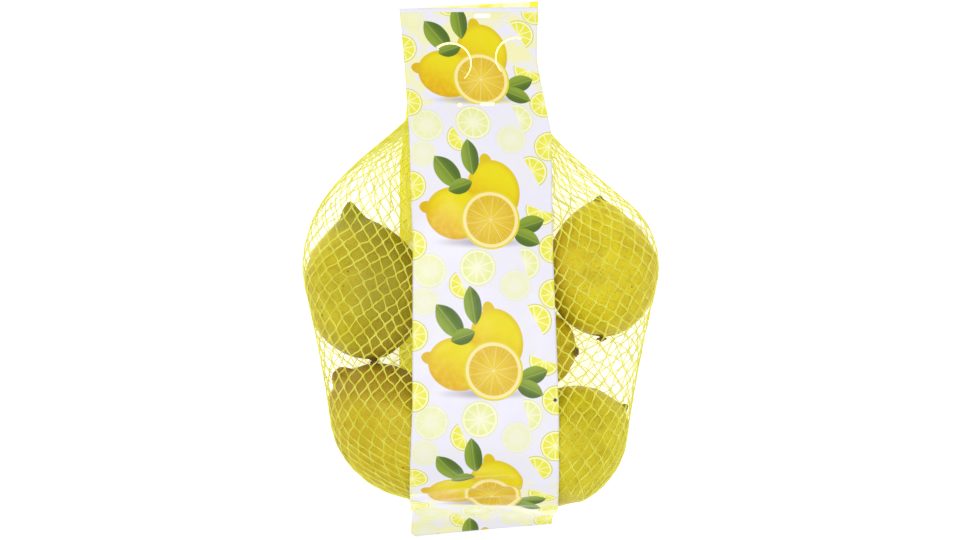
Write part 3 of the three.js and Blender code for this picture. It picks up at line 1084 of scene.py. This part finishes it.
@dataclass
class NetSkin:
    """The net's smooth surface, read from the frame as a chart: share round, share along."""

    tree: BVHTree
    low: Vector
    high: Vector
    stations: int = 150
    rays: int = 720
    spokes: int = 288
    rows: int = 256
    inset: float = 0.4
    smoothing: int = 5
    length: float = field(init=False)
    chart: np.ndarray = field(init=False)
    normals: np.ndarray = field(init=False)
    girths: np.ndarray = field(init=False)

    def __post_init__(self) -> None:
        """Measures the surface."""
        rings = np.array([self.ring(k / self.stations) for k in range(self.stations + 1)])
        steps = np.linalg.norm(np.diff(rings, axis=0), axis=2)
        run = np.vstack([np.zeros(self.spokes), np.cumsum(steps, axis=0)])
        shares = np.linspace(0, 1, self.rows)
        self.chart = np.empty((self.rows, self.spokes, 3))
        for spoke in range(self.spokes):
            share = run[:, spoke] / run[-1, spoke]
            for axis in range(3):
                self.chart[:, spoke, axis] = np.interp(shares, share, rings[:, spoke, axis])
        for _ in range(self.smoothing):
            neighbours = np.roll(self.chart, 1, axis=1) + np.roll(self.chart, -1, axis=1)
            self.chart = (neighbours + 2 * self.chart) / 4
            self.chart[1:-1] = (self.chart[:-2] + 2 * self.chart[1:-1] + self.chart[2:]) / 4
        self.length = float(run[-1].mean())
        around = np.roll(self.chart, -1, axis=1) - np.roll(self.chart, 1, axis=1)
        outward = np.cross(around, np.gradient(self.chart, axis=0))
        self.normals = outward / np.linalg.norm(outward, axis=2, keepdims=True)
        if self.normals[self.rows // 2, self.spokes // 2, 2] < 0:
            self.normals = -self.normals
        closed = np.concatenate([self.chart, self.chart[:, :1]], axis=1)
        self.girths = np.linalg.norm(np.diff(closed, axis=1), axis=2).sum(axis=1)

    def ring(self, share: float) -> np.ndarray:
        """Points round one station, evenly spaced, starting under the pack.

        Args:
            share: Place of the station from the foot (0) to the head (1).

        Returns:
            An array of spokes points.
        """
        eased = (1 - math.cos(math.pi * share)) / 2
        inset = self.inset * MM
        y = self.low.y + inset + (self.high.y - self.low.y - 2 * inset) * eased
        below = self.tree.ray_cast(Vector((0, y, self.low.z - 1)), Vector((0, 0, 1)))[0]
        above = self.tree.ray_cast(Vector((0, y, self.high.z + 1)), Vector((0, 0, -1)))[0]
        centre = (below + above) / 2
        points = []
        for ray in range(self.rays):
            angle = 2 * math.pi * ray / self.rays - math.pi / 2
            hit = self.tree.ray_cast(centre, Vector((math.cos(angle), 0, math.sin(angle))))[0]
            points.append(hit or points[-1])
        path = np.array(points + points[:1])
        run = np.concatenate([[0], np.cumsum(np.linalg.norm(np.diff(path, axis=0), axis=1))])
        even = np.linspace(0, run[-1], self.spokes, endpoint=False)
        return np.stack([np.interp(even, run, path[:, axis]) for axis in range(3)], axis=1)

    def at(self, values: np.ndarray, around: np.ndarray, along: np.ndarray) -> np.ndarray:
        """Reads the chart's points or normals at many places.

        Args:
            values: The chart or its normals.
            around: Shares round the net.
            along: Shares along the net.

        Returns:
            One row of values for each place.
        """
        column = (around % 1.0) * self.spokes
        row = np.clip(along, 0.0, 1.0) * (self.rows - 1)
        left = np.floor(column).astype(int)
        below = np.minimum(row.astype(int), self.rows - 2)
        right_share, above_share = (column - left)[:, None], (row - below)[:, None]
        left, right = left % self.spokes, (left + 1) % self.spokes
        low, high = (
            values[line, left] * (1 - right_share) + values[line, right] * right_share
            for line in (below, below + 1)
        )
        return low * (1 - above_share) + high * above_share

    def girth(self, along: float) -> float:
        """Length once round the surface, in metres."""
        return float(np.interp(along, np.linspace(0, 1, self.rows), self.girths))


@dataclass
class Net:
    """The knitted net: zigzag yarns of two plies, which run together in pairs at each joint."""

    skin: NetSkin
    material: bpy.types.Material
    cells_round: int = 52
    strand: float = 6.3
    joint: float = 1.4
    cell_limit: float = 0.8
    spread: float = 0.38
    spread_limit: float = 0.2
    ply: float = 0.25
    ply_offset: float = 0.25
    bow: float = 0.04
    twist_run: float = 11.0
    uneven: float = 0.09
    drift: float = 2.4
    drift_scale: float = 24.0
    held_run: float = 0.125
    sink: float = 0.1
    lean: float = 0.07
    lean_run: Hump = (0.25, 0.7, 0.78, 1.0)
    tilt: float = 0.065
    tilt_run: Hump = (0.28, 0.6, 0.68, 1.0)
    gather: float = 0.05
    gather_run: Pair = (0.68, 0.95)
    swing: float = 1.25
    swing_step: float = 1.9
    flatness: float = 0.7
    thickness_change: float = 0.3
    thickness_scale: float = 160.0
    foot_stretch: float = 0.45
    foot_run: Pair = (0.0, 0.32)
    head_stretch: float = 0.5
    head_run: Pair = (0.64, 0.82)
    seed: int = 11

    def rows(self) -> list[float]:
        """Places the joints' rows along the net, closer where it is wide, drawn out at its ends.

        Returns:
            The rows' shares along, from the foot (0) to the head (1).
        """
        places = [0.0]
        while places[-1] < 1.0:
            width = self.skin.girth(places[-1]) / MM / self.cells_round
            half = min(width / 2, self.strand * self.cell_limit)
            rise = math.sqrt(self.strand**2 - half**2)
            rise *= 1 + self.foot_stretch * (1 - smoothstep(places[-1], *self.foot_run))
            rise *= 1 + self.head_stretch * smoothstep(places[-1], *self.head_run)
            places.append(places[-1] + rise * MM / self.skin.length)
        return places[:-1] + [1.0]

    def joints(self, rows: list[float]) -> list[list[Pair]]:
        """Uneven places of all joints, row by row.

        Args:
            rows: Places of the rows.

        Returns:
            For each row, the share round and the share along of each joint.
        """
        rng = random.Random(self.seed)
        step = rows[1] - rows[0]
        table = []
        for number, along in enumerate(rows):
            free = 0 if number in (0, len(rows) - 1) else 1
            line = []
            for cell in range(self.cells_round):
                around = (cell + 0.5 * (number % 2)) / self.cells_round
                around += rng.uniform(-1, 1) * self.uneven / self.cells_round
                line.append((around, along + free * rng.uniform(-1, 1) * self.uneven * step))
            table.append(line)
        return table

    def route(self, table: list, cell: int, side: int) -> tuple[np.ndarray, np.ndarray]:
        """The route of one zigzag yarn on the chart.

        Args:
            table: Places of all joints.
            cell: Which column of cells the yarn belongs to.
            side: 1 for the yarn that swings to the right, -1 for the one that swings left.

        Returns:
            Shares round and shares along, from the foot to the head.
        """
        stops = []
        run = self.joint * MM / self.skin.length / 2
        limit = self.spread_limit / self.cells_round
        for number, line in enumerate(table):
            column = cell if number % 2 == 0 or side > 0 else cell - 1
            around, along = line[column % self.cells_round]
            if column < 0:
                around -= 1.0
            swing = side if number % 2 == 0 else -side
            aside = swing * min(self.spread * MM / self.skin.girth(along), limit)
            stops += [(around + aside, along - run), (around + aside, along + run)]
        around, along = [], []
        for number, (start, end) in enumerate(zip(stops, stops[1:])):
            shares = (0.0,) if number % 2 == 0 else (0.0, 0.33, 0.67)
            for share in shares:
                bowed = share - self.bow * math.sin(2 * math.pi * share)
                around.append(start[0] + (end[0] - start[0]) * bowed)
                along.append(start[1] + (end[1] - start[1]) * share)
        return np.array(around + [stops[-1][0]]), np.array(along + [stops[-1][1]])

    def plies(self, around: np.ndarray, along: np.ndarray, phase: float) -> list[np.ndarray]:
        """The two plies of a yarn, drawn aside with the net and twisted round each other.

        Args:
            around: Shares round, along the yarn's route.
            along: Shares along.
            phase: Where the twist starts.

        Returns:
            Two lists of points, in metres.
        """
        start = self.skin.at(self.skin.chart, around, along)
        stray = np.array([noise.noise_vector(Vector(point) * self.drift_scale) for point in start])
        ends = np.minimum(1.0, np.minimum(along, 1 - along) / self.held_run)
        pull = self.lean * plateau(along, *self.lean_run) * np.sin(2 * math.pi * (0.5 - around))
        body = plateau(along, *self.tilt_run)
        dip = self.tilt * body * (1 + np.cos(4 * math.pi * (around - 0.5))) / 2
        pull -= self.gather * smoothstep(along, *self.gather_run) * np.sin(4 * math.pi * (around - 0.25))
        around = around + pull + stray[:, 0] * ends * self.drift * MM / self.skin.girths.max()
        along = along - dip + stray[:, 1] * ends * self.drift * MM / self.skin.length
        points = self.skin.at(self.skin.chart, around, along)
        normals = self.skin.at(self.skin.normals, around, along)
        points = points - normals * self.sink * MM
        tangent = np.gradient(points, axis=0)
        aside = np.cross(tangent, normals)
        aside /= np.linalg.norm(aside, axis=1, keepdims=True)
        steps = np.linalg.norm(np.diff(points, axis=0), axis=1)
        run = np.concatenate([[0.0], np.cumsum(steps)]) / MM
        turn = self.swing * np.sin(2 * math.pi * run / self.twist_run + phase)[:, None]
        offset = (np.cos(turn) * aside + self.flatness * np.sin(turn) * normals) * self.ply_offset * MM
        return [points + offset, points - offset]

    def build(self) -> list[bpy.types.Object]:
        """Returns the net's four quarters: left and right, facing up and beneath."""
        noise.seed_set(self.seed)
        table = self.joints(self.rows())
        names = ("net_back_right", "net_front_right", "net_front_left", "net_back_left")
        quarters: dict[str, list] = {name: [] for name in names}
        for cell in range(self.cells_round):
            quarter = names[4 * cell // self.cells_round]
            for side in (1, -1):
                phase = self.swing_step * cell + side
                quarters[quarter] += self.plies(*self.route(table, cell, side), phase)
        return [self.tubes(name, paths) for name, paths in quarters.items()]

    def tubes(self, name: str, paths: list[np.ndarray]) -> bpy.types.Object:
        """Makes one mesh of round plies along the paths.

        Args:
            name: The piece's name.
            paths: The plies' paths.

        Returns:
            The piece's object.
        """
        curve = bpy.data.curves.new(name, "CURVE")
        curve.dimensions = "3D"
        curve.bevel_depth = self.ply * MM
        curve.bevel_resolution = 0
        curve.use_fill_caps = True
        for path in paths:
            spline = curve.splines.new("POLY")
            spline.points.add(len(path) - 1)
            spline.points.foreach_set("co", np.column_stack([path, np.ones(len(path))]).ravel())
            change = [noise.noise(Vector(point) * self.thickness_scale) for point in path]
            spline.points.foreach_set("radius", [1.0 + self.thickness_change * part for part in change])
        cord = linked(name + "_curve", curve)
        mesh = bpy.data.meshes.new_from_object(cord.evaluated_get(bpy.context.evaluated_depsgraph_get()))
        bpy.data.objects.remove(cord)
        bm = bmesh.new()
        bm.from_mesh(mesh)
        bpy.data.meshes.remove(mesh)
        bmesh.ops.remove_doubles(bm, verts=bm.verts, dist=SAME_POINT)
        return to_object(bm, name, self.material)


# ---- Film bands ----------------------------------------------------------------------------


@dataclass(frozen=True)
class Station:
    """The band's middle, width and skew at one place along it, in millimetres."""

    y: float
    centre: float
    width: float
    skew: float = 0.0


WELD_LINE = 92.0
FOOT_SEAM = -133.5
TAIL_END = -146.5

FRONT_STATIONS = (
    Station(147.6, -6.3, 79.6, 0.6),
    Station(136.0, -6.0, 77.6),
    Station(118.0, -5.4, 75.2),
    Station(WELD_LINE, -2.2, 77.4),
    Station(74.0, 0.2, 79.0),
    Station(10.0, 1.6, 75.6),
    Station(-72.0, 3.0, 78.2),
    Station(FOOT_SEAM, 1.8, 80.6),
    Station(TAIL_END, 0.6, 80.4, 7.4),
)

BACK_STATIONS = (
    Station(149.3, -6.2, 79.0, 4.6),
    Station(118.0, -5.4, 75.2),
    Station(WELD_LINE, -2.2, 77.4),
    Station(60.0, -6.8, 77.8),
    Station(-60.0, -7.0, 78.0),
    Station(FOOT_SEAM, 1.8, 80.6),
    Station(TAIL_END - 1.2, 0.6, 80.4, 7.4),
)


@dataclass(frozen=True)
class Cut:
    """A slot punched through both bands, straight with round ends or along an arc."""

    x: float
    y: float
    width: float
    length: float = 0.0
    radius: float = 0.0
    start: float = 0.0
    end: float = 0.0
    taper: float = 0.3
    arc_points: int = 26
    cap_points: int = 9

    def outline(self) -> list[Pair]:
        """Draws the slot's outline.

        Returns:
            Points round it, in millimetres.
        """
        if self.radius:
            turns = np.radians(np.linspace(self.start, self.end, self.arc_points))
            halves = np.linspace(self.width / 2, self.width * self.taper / 2, self.arc_points)
            outer = [(turn, self.radius + half) for turn, half in zip(turns, halves)]
            inner = [(turn, self.radius - half) for turn, half in zip(turns, halves)]
            rim = outer + inner[::-1]
            return [(self.x + out * math.cos(turn), self.y + out * math.sin(turn)) for turn, out in rim]
        reach, half = (self.length - self.width) / 2, self.width / 2
        turns = np.linspace(0, math.pi, self.cap_points)
        arc = [(half * math.sin(turn), half * math.cos(turn)) for turn in turns]
        right = [(self.x + reach + across, self.y + along) for across, along in arc]
        left = [(self.x - reach - across, self.y - along) for across, along in arc]
        return right + left


CUTS = (
    Cut(1.2, 143.0, 2.6, length=9.2),
    Cut(4.2, 92.2, 2.2, length=8.0),
    Cut(-11.4, 91.6, 2.4, length=2.8),
    Cut(-16.6, 115.4, 1.5, radius=11.6, start=130, end=-48),
    Cut(20.4, 118.6, 1.5, radius=11.6, start=76, end=222),
)


@dataclass(frozen=True)
class Relief:
    """Small folds of a band, as heights over its sheet: ripples, a curled edge, creases at the foot."""

    ripple: float = 0.35
    ripple_across: float = 0.05
    ripple_along: float = 0.04
    weld_step: float = 0.0
    curl: float = 0.0
    curl_run: Hump = (62.0, 80.0, 96.0, 106.0)
    curl_edge: Pair = (0.86, 1.0)
    fold: float = 0.0
    fold_run: Hump = (106.0, 114.0, 126.0, 131.0)
    fold_wave: float = 11.0
    fold_slope: float = 0.16
    fold_mean: float = 0.55
    fold_swing: float = 0.45
    swing_scale: float = 0.11

    def heights(self, points: np.ndarray, run: np.ndarray) -> np.ndarray:
        """Heights of the folds over the sheet.

        Args:
            points: Rows of points, in millimetres.
            run: How far along the band each row lies.

        Returns:
            A height for each point, in millimetres.
        """
        x, y = points[..., 0], points[..., 1]
        total = np.empty(x.shape)
        for index in np.ndindex(x.shape):
            place = Vector((x[index] * self.ripple_across, run[index[0]] * self.ripple_along, 3.0))
            total[index] = self.ripple * noise.noise(place)
        total += self.weld_step * (y > WELD_LINE)
        share = np.linspace(0.0, 1.0, x.shape[1])[None, :]
        neck = plateau(y, *self.curl_run)
        total += self.curl * neck * smoothstep(share, *self.curl_edge) ** 2
        foot = plateau(-y, *self.fold_run)
        phase = (run[:, None] + self.fold_slope * x) / self.fold_wave
        crease = 1 - 2 * np.abs(np.sin(np.pi * phase))
        uneven = self.fold_mean + self.fold_swing * np.sin(x * self.swing_scale + 1)
        total += self.fold * foot * crease * uneven
        return total


@dataclass
class FilmBand:
    """A band of thin film that follows its CAD sheet, with its print unrolled along it."""

    name: str
    node: str
    from_above: bool
    finish: PrintFinish
    stations: tuple[Station, ...]
    relief: Relief
    lift: float
    header_print: float = 232.5
    label_print: float = 2.7
    foot: float = -100.0
    bare_head: float = 2.6
    print_middle: float = 39.0
    mark: Pair | None = None
    fine: float = 0.3
    row_step: float = 1.2
    columns: int = 60
    margin: float = 0.006
    smooth_along: int = 12
    smooth_across: int = 8
    thickness: float = 0.16
    corner: float = 4.0
    punch_from: float = -10.0
    punch_run: float = 60.0

    def measure(self, y: float) -> tuple[float, float, float]:
        """Measures the band at a place along it.

        Args:
            y: The place, in millimetres.

        Returns:
            The band's middle, width and skew there.
        """
        upward = self.stations[::-1]
        ys = [station.y for station in upward]
        kinds = ("centre", "width", "skew")
        return tuple(np.interp(y, ys, [getattr(station, kind) for station in upward]) for kind in kinds)

    def sheet_points(self) -> np.ndarray:
        """Finds points of the CAD sheet.

        Returns:
            Fine points down each column of the band, in millimetres.
        """
        tree = surface_tree(self.node)
        first, last = self.stations[0].y, self.stations[-1].y
        lines = np.linspace(first, last, int((first - last) / self.fine))
        shares = np.linspace(self.margin, 1 - self.margin, self.columns + 1) - 0.5
        aim = Vector((0, 0, -1 if self.from_above else 1))
        points = np.empty((len(lines), len(shares), 3))
        for row, y in enumerate(lines):
            centre, width, skew = self.measure(y)
            for column, share in enumerate(shares):
                x, along = centre + width * share, y + skew * share
                hit = tree.ray_cast(spot(x, along) - aim, aim)[0]
                points[row, column] = (x, along, hit.z / MM if hit else math.nan)
        for column in range(len(shares)):
            heights = points[:, column, 2]
            known = np.flatnonzero(~np.isnan(heights))
            points[:, column, 2] = np.interp(np.arange(len(lines)), known, heights[known])
        return points

    def even_rows(self, points: np.ndarray) -> tuple[np.ndarray, np.ndarray]:
        """Picks rows evenly along the band's run and smooths the sheet's facets away.

        Args:
            points: Fine points, row by row.

        Returns:
            The picked rows and how far along the band each lies, in millimetres.
        """
        middle = points[:, self.columns // 2]
        run = np.concatenate([[0], np.cumsum(np.linalg.norm(np.diff(middle, axis=0), axis=1))])
        wanted = np.linspace(0, run[-1], int(run[-1] / self.row_step) + 1)
        picked = np.empty((len(wanted), points.shape[1], 3))
        for column in range(points.shape[1]):
            for axis in range(3):
                picked[:, column, axis] = np.interp(wanted, run, points[:, column, axis])
        for _ in range(self.smooth_along):
            picked[1:-1] = (picked[:-2] + 2 * picked[1:-1] + picked[2:]) / 4
        for _ in range(self.smooth_across):
            picked[:, 1:-1] = (picked[:, :-2] + 2 * picked[:, 1:-1] + picked[:, 2:]) / 4
        return picked, wanted

    def round_tail(self, points: np.ndarray) -> None:
        """Rounds the band's lower left corner.

        Args:
            points: Rows of points, in millimetres.
        """
        edge = points[-1, 0, :2]
        centre = edge + self.corner
        offset = points[..., :2] - centre
        reach = np.linalg.norm(offset, axis=2)
        outside = (offset < 0).all(axis=2) & (reach > self.corner)
        points[outside, :2] = centre + offset[outside] * (self.corner / reach[outside])[:, None]

    def print_rows(self, points: np.ndarray, run: np.ndarray) -> tuple[np.ndarray, np.ndarray]:
        """Places of the rows along the print, as the header's and as the label's.

        The header's print is unrolled from its upper end. The label's goes by the place along the
        pack, and past the foot by the film's own length.

        Args:
            points: Rows of points, in millimetres.
            run: How far along the band each row lies.

        Returns:
            The rows' places on the header's and on the label's print, in millimetres.
        """
        middle = points[:, self.columns // 2, 1]
        past = run - np.interp(-self.foot, -middle, run)
        label = np.where(past < 0, middle, self.foot - past) + self.label_print
        return self.header_print - run, label

    def build(self) -> bpy.types.Object:
        """Returns the band's object."""
        points, run = self.even_rows(self.sheet_points())
        normals = np.cross(np.gradient(points, axis=1), -np.gradient(points, axis=0))
        normals /= np.linalg.norm(normals, axis=2, keepdims=True)
        header_rows, label_rows = self.print_rows(points, run)
        widths = [self.measure(y)[1] for y in points[:, self.columns // 2, 1]]
        heights = self.lift + self.relief.heights(points, run)
        points = points + normals * heights[..., None]
        self.round_tail(points)
        bm = bmesh.new()
        chart = bm.loops.layers.uv.new("unrolled")
        bmesh.ops.create_grid(bm, x_segments=self.columns, y_segments=len(run) - 1, size=1.0)
        cells = {}
        for vert in bm.verts:
            column = round((vert.co.x + 1) / 2 * self.columns)
            row = round((1 - vert.co.y) / 2 * (len(run) - 1))
            cells[vert] = (row, column)
            vert.co = spot(*points[row, column])
        weld = spot(0, WELD_LINE).y
        for face in bm.faces:
            rows = header_rows if face.calc_center_median().y > weld else label_rows
            for loop in face.loops:
                row, column = cells[loop.vert]
                across = (column / self.columns - 0.5) * widths[row] + self.print_middle
                loop[chart].uv = (across / self.finish.repeat, rows[row] / self.finish.repeat)
        mark = None
        if self.mark:
            x, y = self.mark
            mark = (x - self.measure(y)[0] + self.print_middle, y + self.label_print)
        material = self.finish.build(self.header_print - self.bare_head, mark)
        piece = to_object(bm, self.name, material)
        shell = piece.modifiers.new("wall", "SOLIDIFY")
        shell.thickness = self.thickness * MM
        shell.offset = 0.0
        applied(piece)
        self.punch(piece)
        return piece

    def punch(self, piece: bpy.types.Object) -> None:
        """Cuts the slots through the band.

        Args:
            piece: The band's object.
        """
        bm = bmesh.new()
        for cut in CUTS:
            rim = [bm.verts.new(spot(*point, self.punch_from)) for point in cut.outline()]
            face = bm.faces.new(rim)
            sweep = bmesh.ops.extrude_face_region(bm, geom=[face])["geom"]
            tops = [item for item in sweep if isinstance(item, bmesh.types.BMVert)]
            bmesh.ops.translate(bm, vec=(0, 0, self.punch_run * MM), verts=tops)
        bmesh.ops.recalc_face_normals(bm, faces=bm.faces)
        tool = to_object(bm, self.name + "_tool", piece.data.materials[0])
        cutter = piece.modifiers.new("punch", "BOOLEAN")
        cutter.object = tool
        cutter.operation = "DIFFERENCE"
        cutter.solver = "EXACT"
        applied(piece)
        bpy.data.objects.remove(tool)


# ---- Studio --------------------------------------------------------------------------------


@dataclass(frozen=True)
class Lamp:
    """A square soft light that points at the pack."""

    name: str
    place: tuple[float, float, float]
    size: float
    power: float

    def build(self) -> None:
        """Makes the light."""
        data = bpy.data.lights.new(self.name, "AREA")
        data.size = self.size
        data.energy = self.power
        lamp = linked(self.name, data)
        lamp.location = self.place
        lamp.rotation_euler = (-Vector(self.place)).to_track_quat("-Z", "Y").to_euler()


@dataclass
class Studio:
    """A pale floor, soft light from above and the camera that looks down on the pack."""

    height: float = 955.0
    focal_pixels: float = 1692.0
    frame_pixels: float = 960.0
    sensor: float = 36.0
    floor_half: float = 3.0
    paper: Pair = (0.88, 0.9)
    paper_scale: float = 6.0
    paper_roughness: float = 0.9
    sky: float = 0.64
    glow: float = 0.6
    lamps: tuple[Lamp, ...] = (
        Lamp("key", (-0.4, 0.35, 1.55), 0.9, 7.8),
        Lamp("fill", (0.5, -0.3, 1.5), 1.2, 3.6),
    )

    def camera(self) -> None:
        """Makes the camera, which looks straight down with the header up."""
        lens = bpy.data.cameras.new("camera")
        lens.sensor_width = self.sensor
        lens.lens = self.sensor * self.focal_pixels / self.frame_pixels
        eye = linked("camera", lens)
        eye.location = spot(0.0, 0.0, self.height)
        bpy.context.scene.camera = eye

    def floor(self) -> None:
        """Makes the floor, a sheet of white paper that glows a little, as on a light table."""
        bm = bmesh.new()
        bmesh.ops.create_grid(bm, x_segments=1, y_segments=1, size=self.floor_half)
        graph = Graph("floor")
        paper = graph.mix(graph.noise(self.paper_scale), *((tone,) * 3 for tone in self.paper))
        light = {"Emission_Color": (1.0, 1.0, 1.0), "Emission_Strength": self.glow}
        material = graph.dress(Base_Color=paper, Roughness=self.paper_roughness, **light)
        floor = to_object(bm, "floor", material)

    def lights(self) -> None:
        """Makes a broad key light, a fill and an even sky."""
        for lamp in self.lamps:
            lamp.build()
        world = bpy.data.worlds.new("sky")
        world.use_nodes = True
        sky = world.node_tree.nodes["Background"].inputs
        sky["Color"].default_value = (1.0, 1.0, 1.0, 1.0)
        sky["Strength"].default_value = self.sky
        bpy.context.scene.world = world
        bpy.context.scene.view_settings.view_transform = "Standard"

    def build(self) -> None:
        """Makes the whole studio."""
        self.camera()
        self.floor()
        self.lights()


# ---- The pack ------------------------------------------------------------------------------


def lemons() -> list[Lemon]:
    """Lists the lemons of the net.

    Returns:
        The six lemons.
    """
    # Colours of painted shade: a darker green-brown for a side by the front band, brown for a top under the
    # lemons above.
    painted_shade_olive = srgb(158, 145, 38)
    brown = srgb(174, 144, 46)
    upper_left = PeelFinish(
        "peel_upper_left",
        light=srgb(214, 199, 36),
        deep=srgb(198, 182, 32),
        painted_lights_and_tints=(
            # Painted shade on the side by the front band, painted light that lifts its darkest edge and its
            # lower right, then the peel's own greener tip.
            PaintedLightAndTint(painted_shade_olive, 0.0, -24.0, 16.0, 0.85),
            PaintedLightAndTint(srgb(222, 200, 80), 0.0, 20.0, 32.0, 0.8),
            PaintedLightAndTint(srgb(204, 184, 66), -52.0, 22.0, 34.0, 0.7),
            PaintedLightAndTint(srgb(150, 150, 36), 99.0, 24.0, 40.0, 0.8),
        ),
        scars_and_shades=(
            # The brown patch at the stem end is partly its own colour and partly painted shade, where it
            # dips towards the lemons below.
            ScarAndShade(-44.0, 0.0, 2.0, (6.0, 12.0, 12.0), srgb(128, 98, 44), 0.8),
            ScarAndShade(20.0, -18.0, 20.0, (3.0, 1.6, 5.0)),
        ),
        mottle=0.4,
    )
    upper_right = PeelFinish(
        "peel_upper_right",
        light=srgb(224, 207, 34),
        deep=srgb(211, 191, 30),
        # Painted shade on the left side, by the front band.
        painted_lights_and_tints=(PaintedLightAndTint(srgb(206, 172, 48), 180.0, 12.0, 30.0, 0.8),),
        scars_and_shades=(
            ScarAndShade(38.0, 0.0, 0.0, (3.6, 5.0, 7.0), srgb(110, 100, 36), 0.7),
            ScarAndShade(-37.0, 4.0, 2.0, (4.0, 6.0, 8.0)),
        ),
    )
    top = PeelFinish("peel_top")
    middle = PeelFinish(
        "peel_middle",
        light=srgb(220, 202, 32),
        deep=srgb(206, 183, 28),
        scars_and_shades=(ScarAndShade(-38.0, 0.0, 6.0, (4.0, 8.0, 9.0), srgb(120, 92, 34), 0.7),),
    )
    lower_left = PeelFinish(
        "peel_lower_left",
        light=srgb(213, 193, 34),
        deep=srgb(200, 178, 30),
        # Painted shade on the top, under the lemons above.
        painted_lights_and_tints=(PaintedLightAndTint(brown, 90.0, 9.0, 32.0, 0.85),),
        scars_and_shades=(
            ScarAndShade(46.0, 0.0, 0.0, (6.0, 7.0, 9.0), srgb(136, 108, 42), 0.6),
            ScarAndShade(18.0, 26.0, 8.0, (16.0, 4.0, 14.0), strength=0.5),
        ),
    )
    lower_right = PeelFinish(
        "peel_lower_right",
        light=srgb(218, 204, 36),
        deep=srgb(204, 188, 32),
        scars_and_shades=(ScarAndShade(43.0, 0.0, 2.0, (5.0, 7.0, 9.0), srgb(140, 128, 48), 0.7),),
    )
    return [
        Lemon(
            "lemon_upper_left", -64.0, -6.9, 99.0, 31.8,
            End(36.5, 45.0, 12.0, taper=0.6, overlap=14.0), bowl(42.3, 44.2, 9.0), upper_left, 1,
        ),
        Lemon(
            "lemon_upper_right", 65.8, 0.8, 91.0, 30.6,
            End(38.5, 40.3, 6.3), bowl(37.5, 39.0, 5.0), upper_right, 2,
        ),
        Lemon(
            "lemon_top", -10.6, 26.5, 112.0, 26.0,
            End(34.0, 36.5, 5.5), bowl(33.0, 36.5, 5.0), top, 3,
        ),
        Lemon(
            "lemon_middle", 17.6, -41.8, 176.0, 23.7,
            End(36.0, 38.5, 5.5), End(37.7, 38.8, 6.5, 2.3, 0.5), middle, 4, pitch=26.0, ground=3.4,
        ),
        Lemon(
            "lemon_lower_left", -46.5, -91.4, 131.0, 32.2,
            End(43.5, 50.0, 12.5, 2.3, 0.5, 0.4, 14.0), bowl(38.0, 41.0, 5.0), lower_left, 5,
        ),
        Lemon(
            "lemon_lower_right", 44.0, -97.2, 33.0, 31.6,
            End(41.5, 44.5, 7.5, 2.2, 0.6), End(38.0, 40.0, 5.5), lower_right, 6,
        ),
    ]


def main() -> None:
    """Builds the pack and its studio."""
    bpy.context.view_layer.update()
    Studio().build()
    net_tree = surface_tree("filled_net")
    stem = StemFinish().build()
    for lemon in lemons():
        settle(lemon.build(net_tree), Slot.PEEL, "filled_net")
        settle(StemButton(lemon, stem).build(), Slot.STEM)
    skin = NetSkin(net_tree, *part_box("filled_net"))
    log.info("net surface: %.0f mm along", skin.length / MM)
    for quarter in Net(skin, YarnFinish().build()).build():
        settle(quarter, Slot.YARN, "filled_net")
    front = FilmBand(
        name="film_front",
        node="front_film",
        from_above=True,
        finish=PrintFinish("printed_film", FRONT_SLICES, FRONT_BUNCH),
        stations=FRONT_STATIONS,
        relief=Relief(weld_step=0.3, curl=1.6, fold=1.5),
        lift=-0.3,
        mark=(40.1, -68.6),
    )
    back = FilmBand(
        name="film_back",
        node="back_film",
        from_above=False,
        # The back film glows strongly with its yellow as painted light, so it stays bright where the front
        # band and the net shade it.
        finish=PrintFinish("back_print", BACK_SLICES, ground=srgb(226, 218, 50), glow=0.36),
        stations=BACK_STATIONS,
        relief=Relief(ripple=0.12),
        lift=0.3,
        bare_head=-100.0,
    )
    settle(front.build(), Slot.PRINT, "front_film")
    settle(back.build(), Slot.BACK, "back_film")


if __name__ == "__main__":
    main()
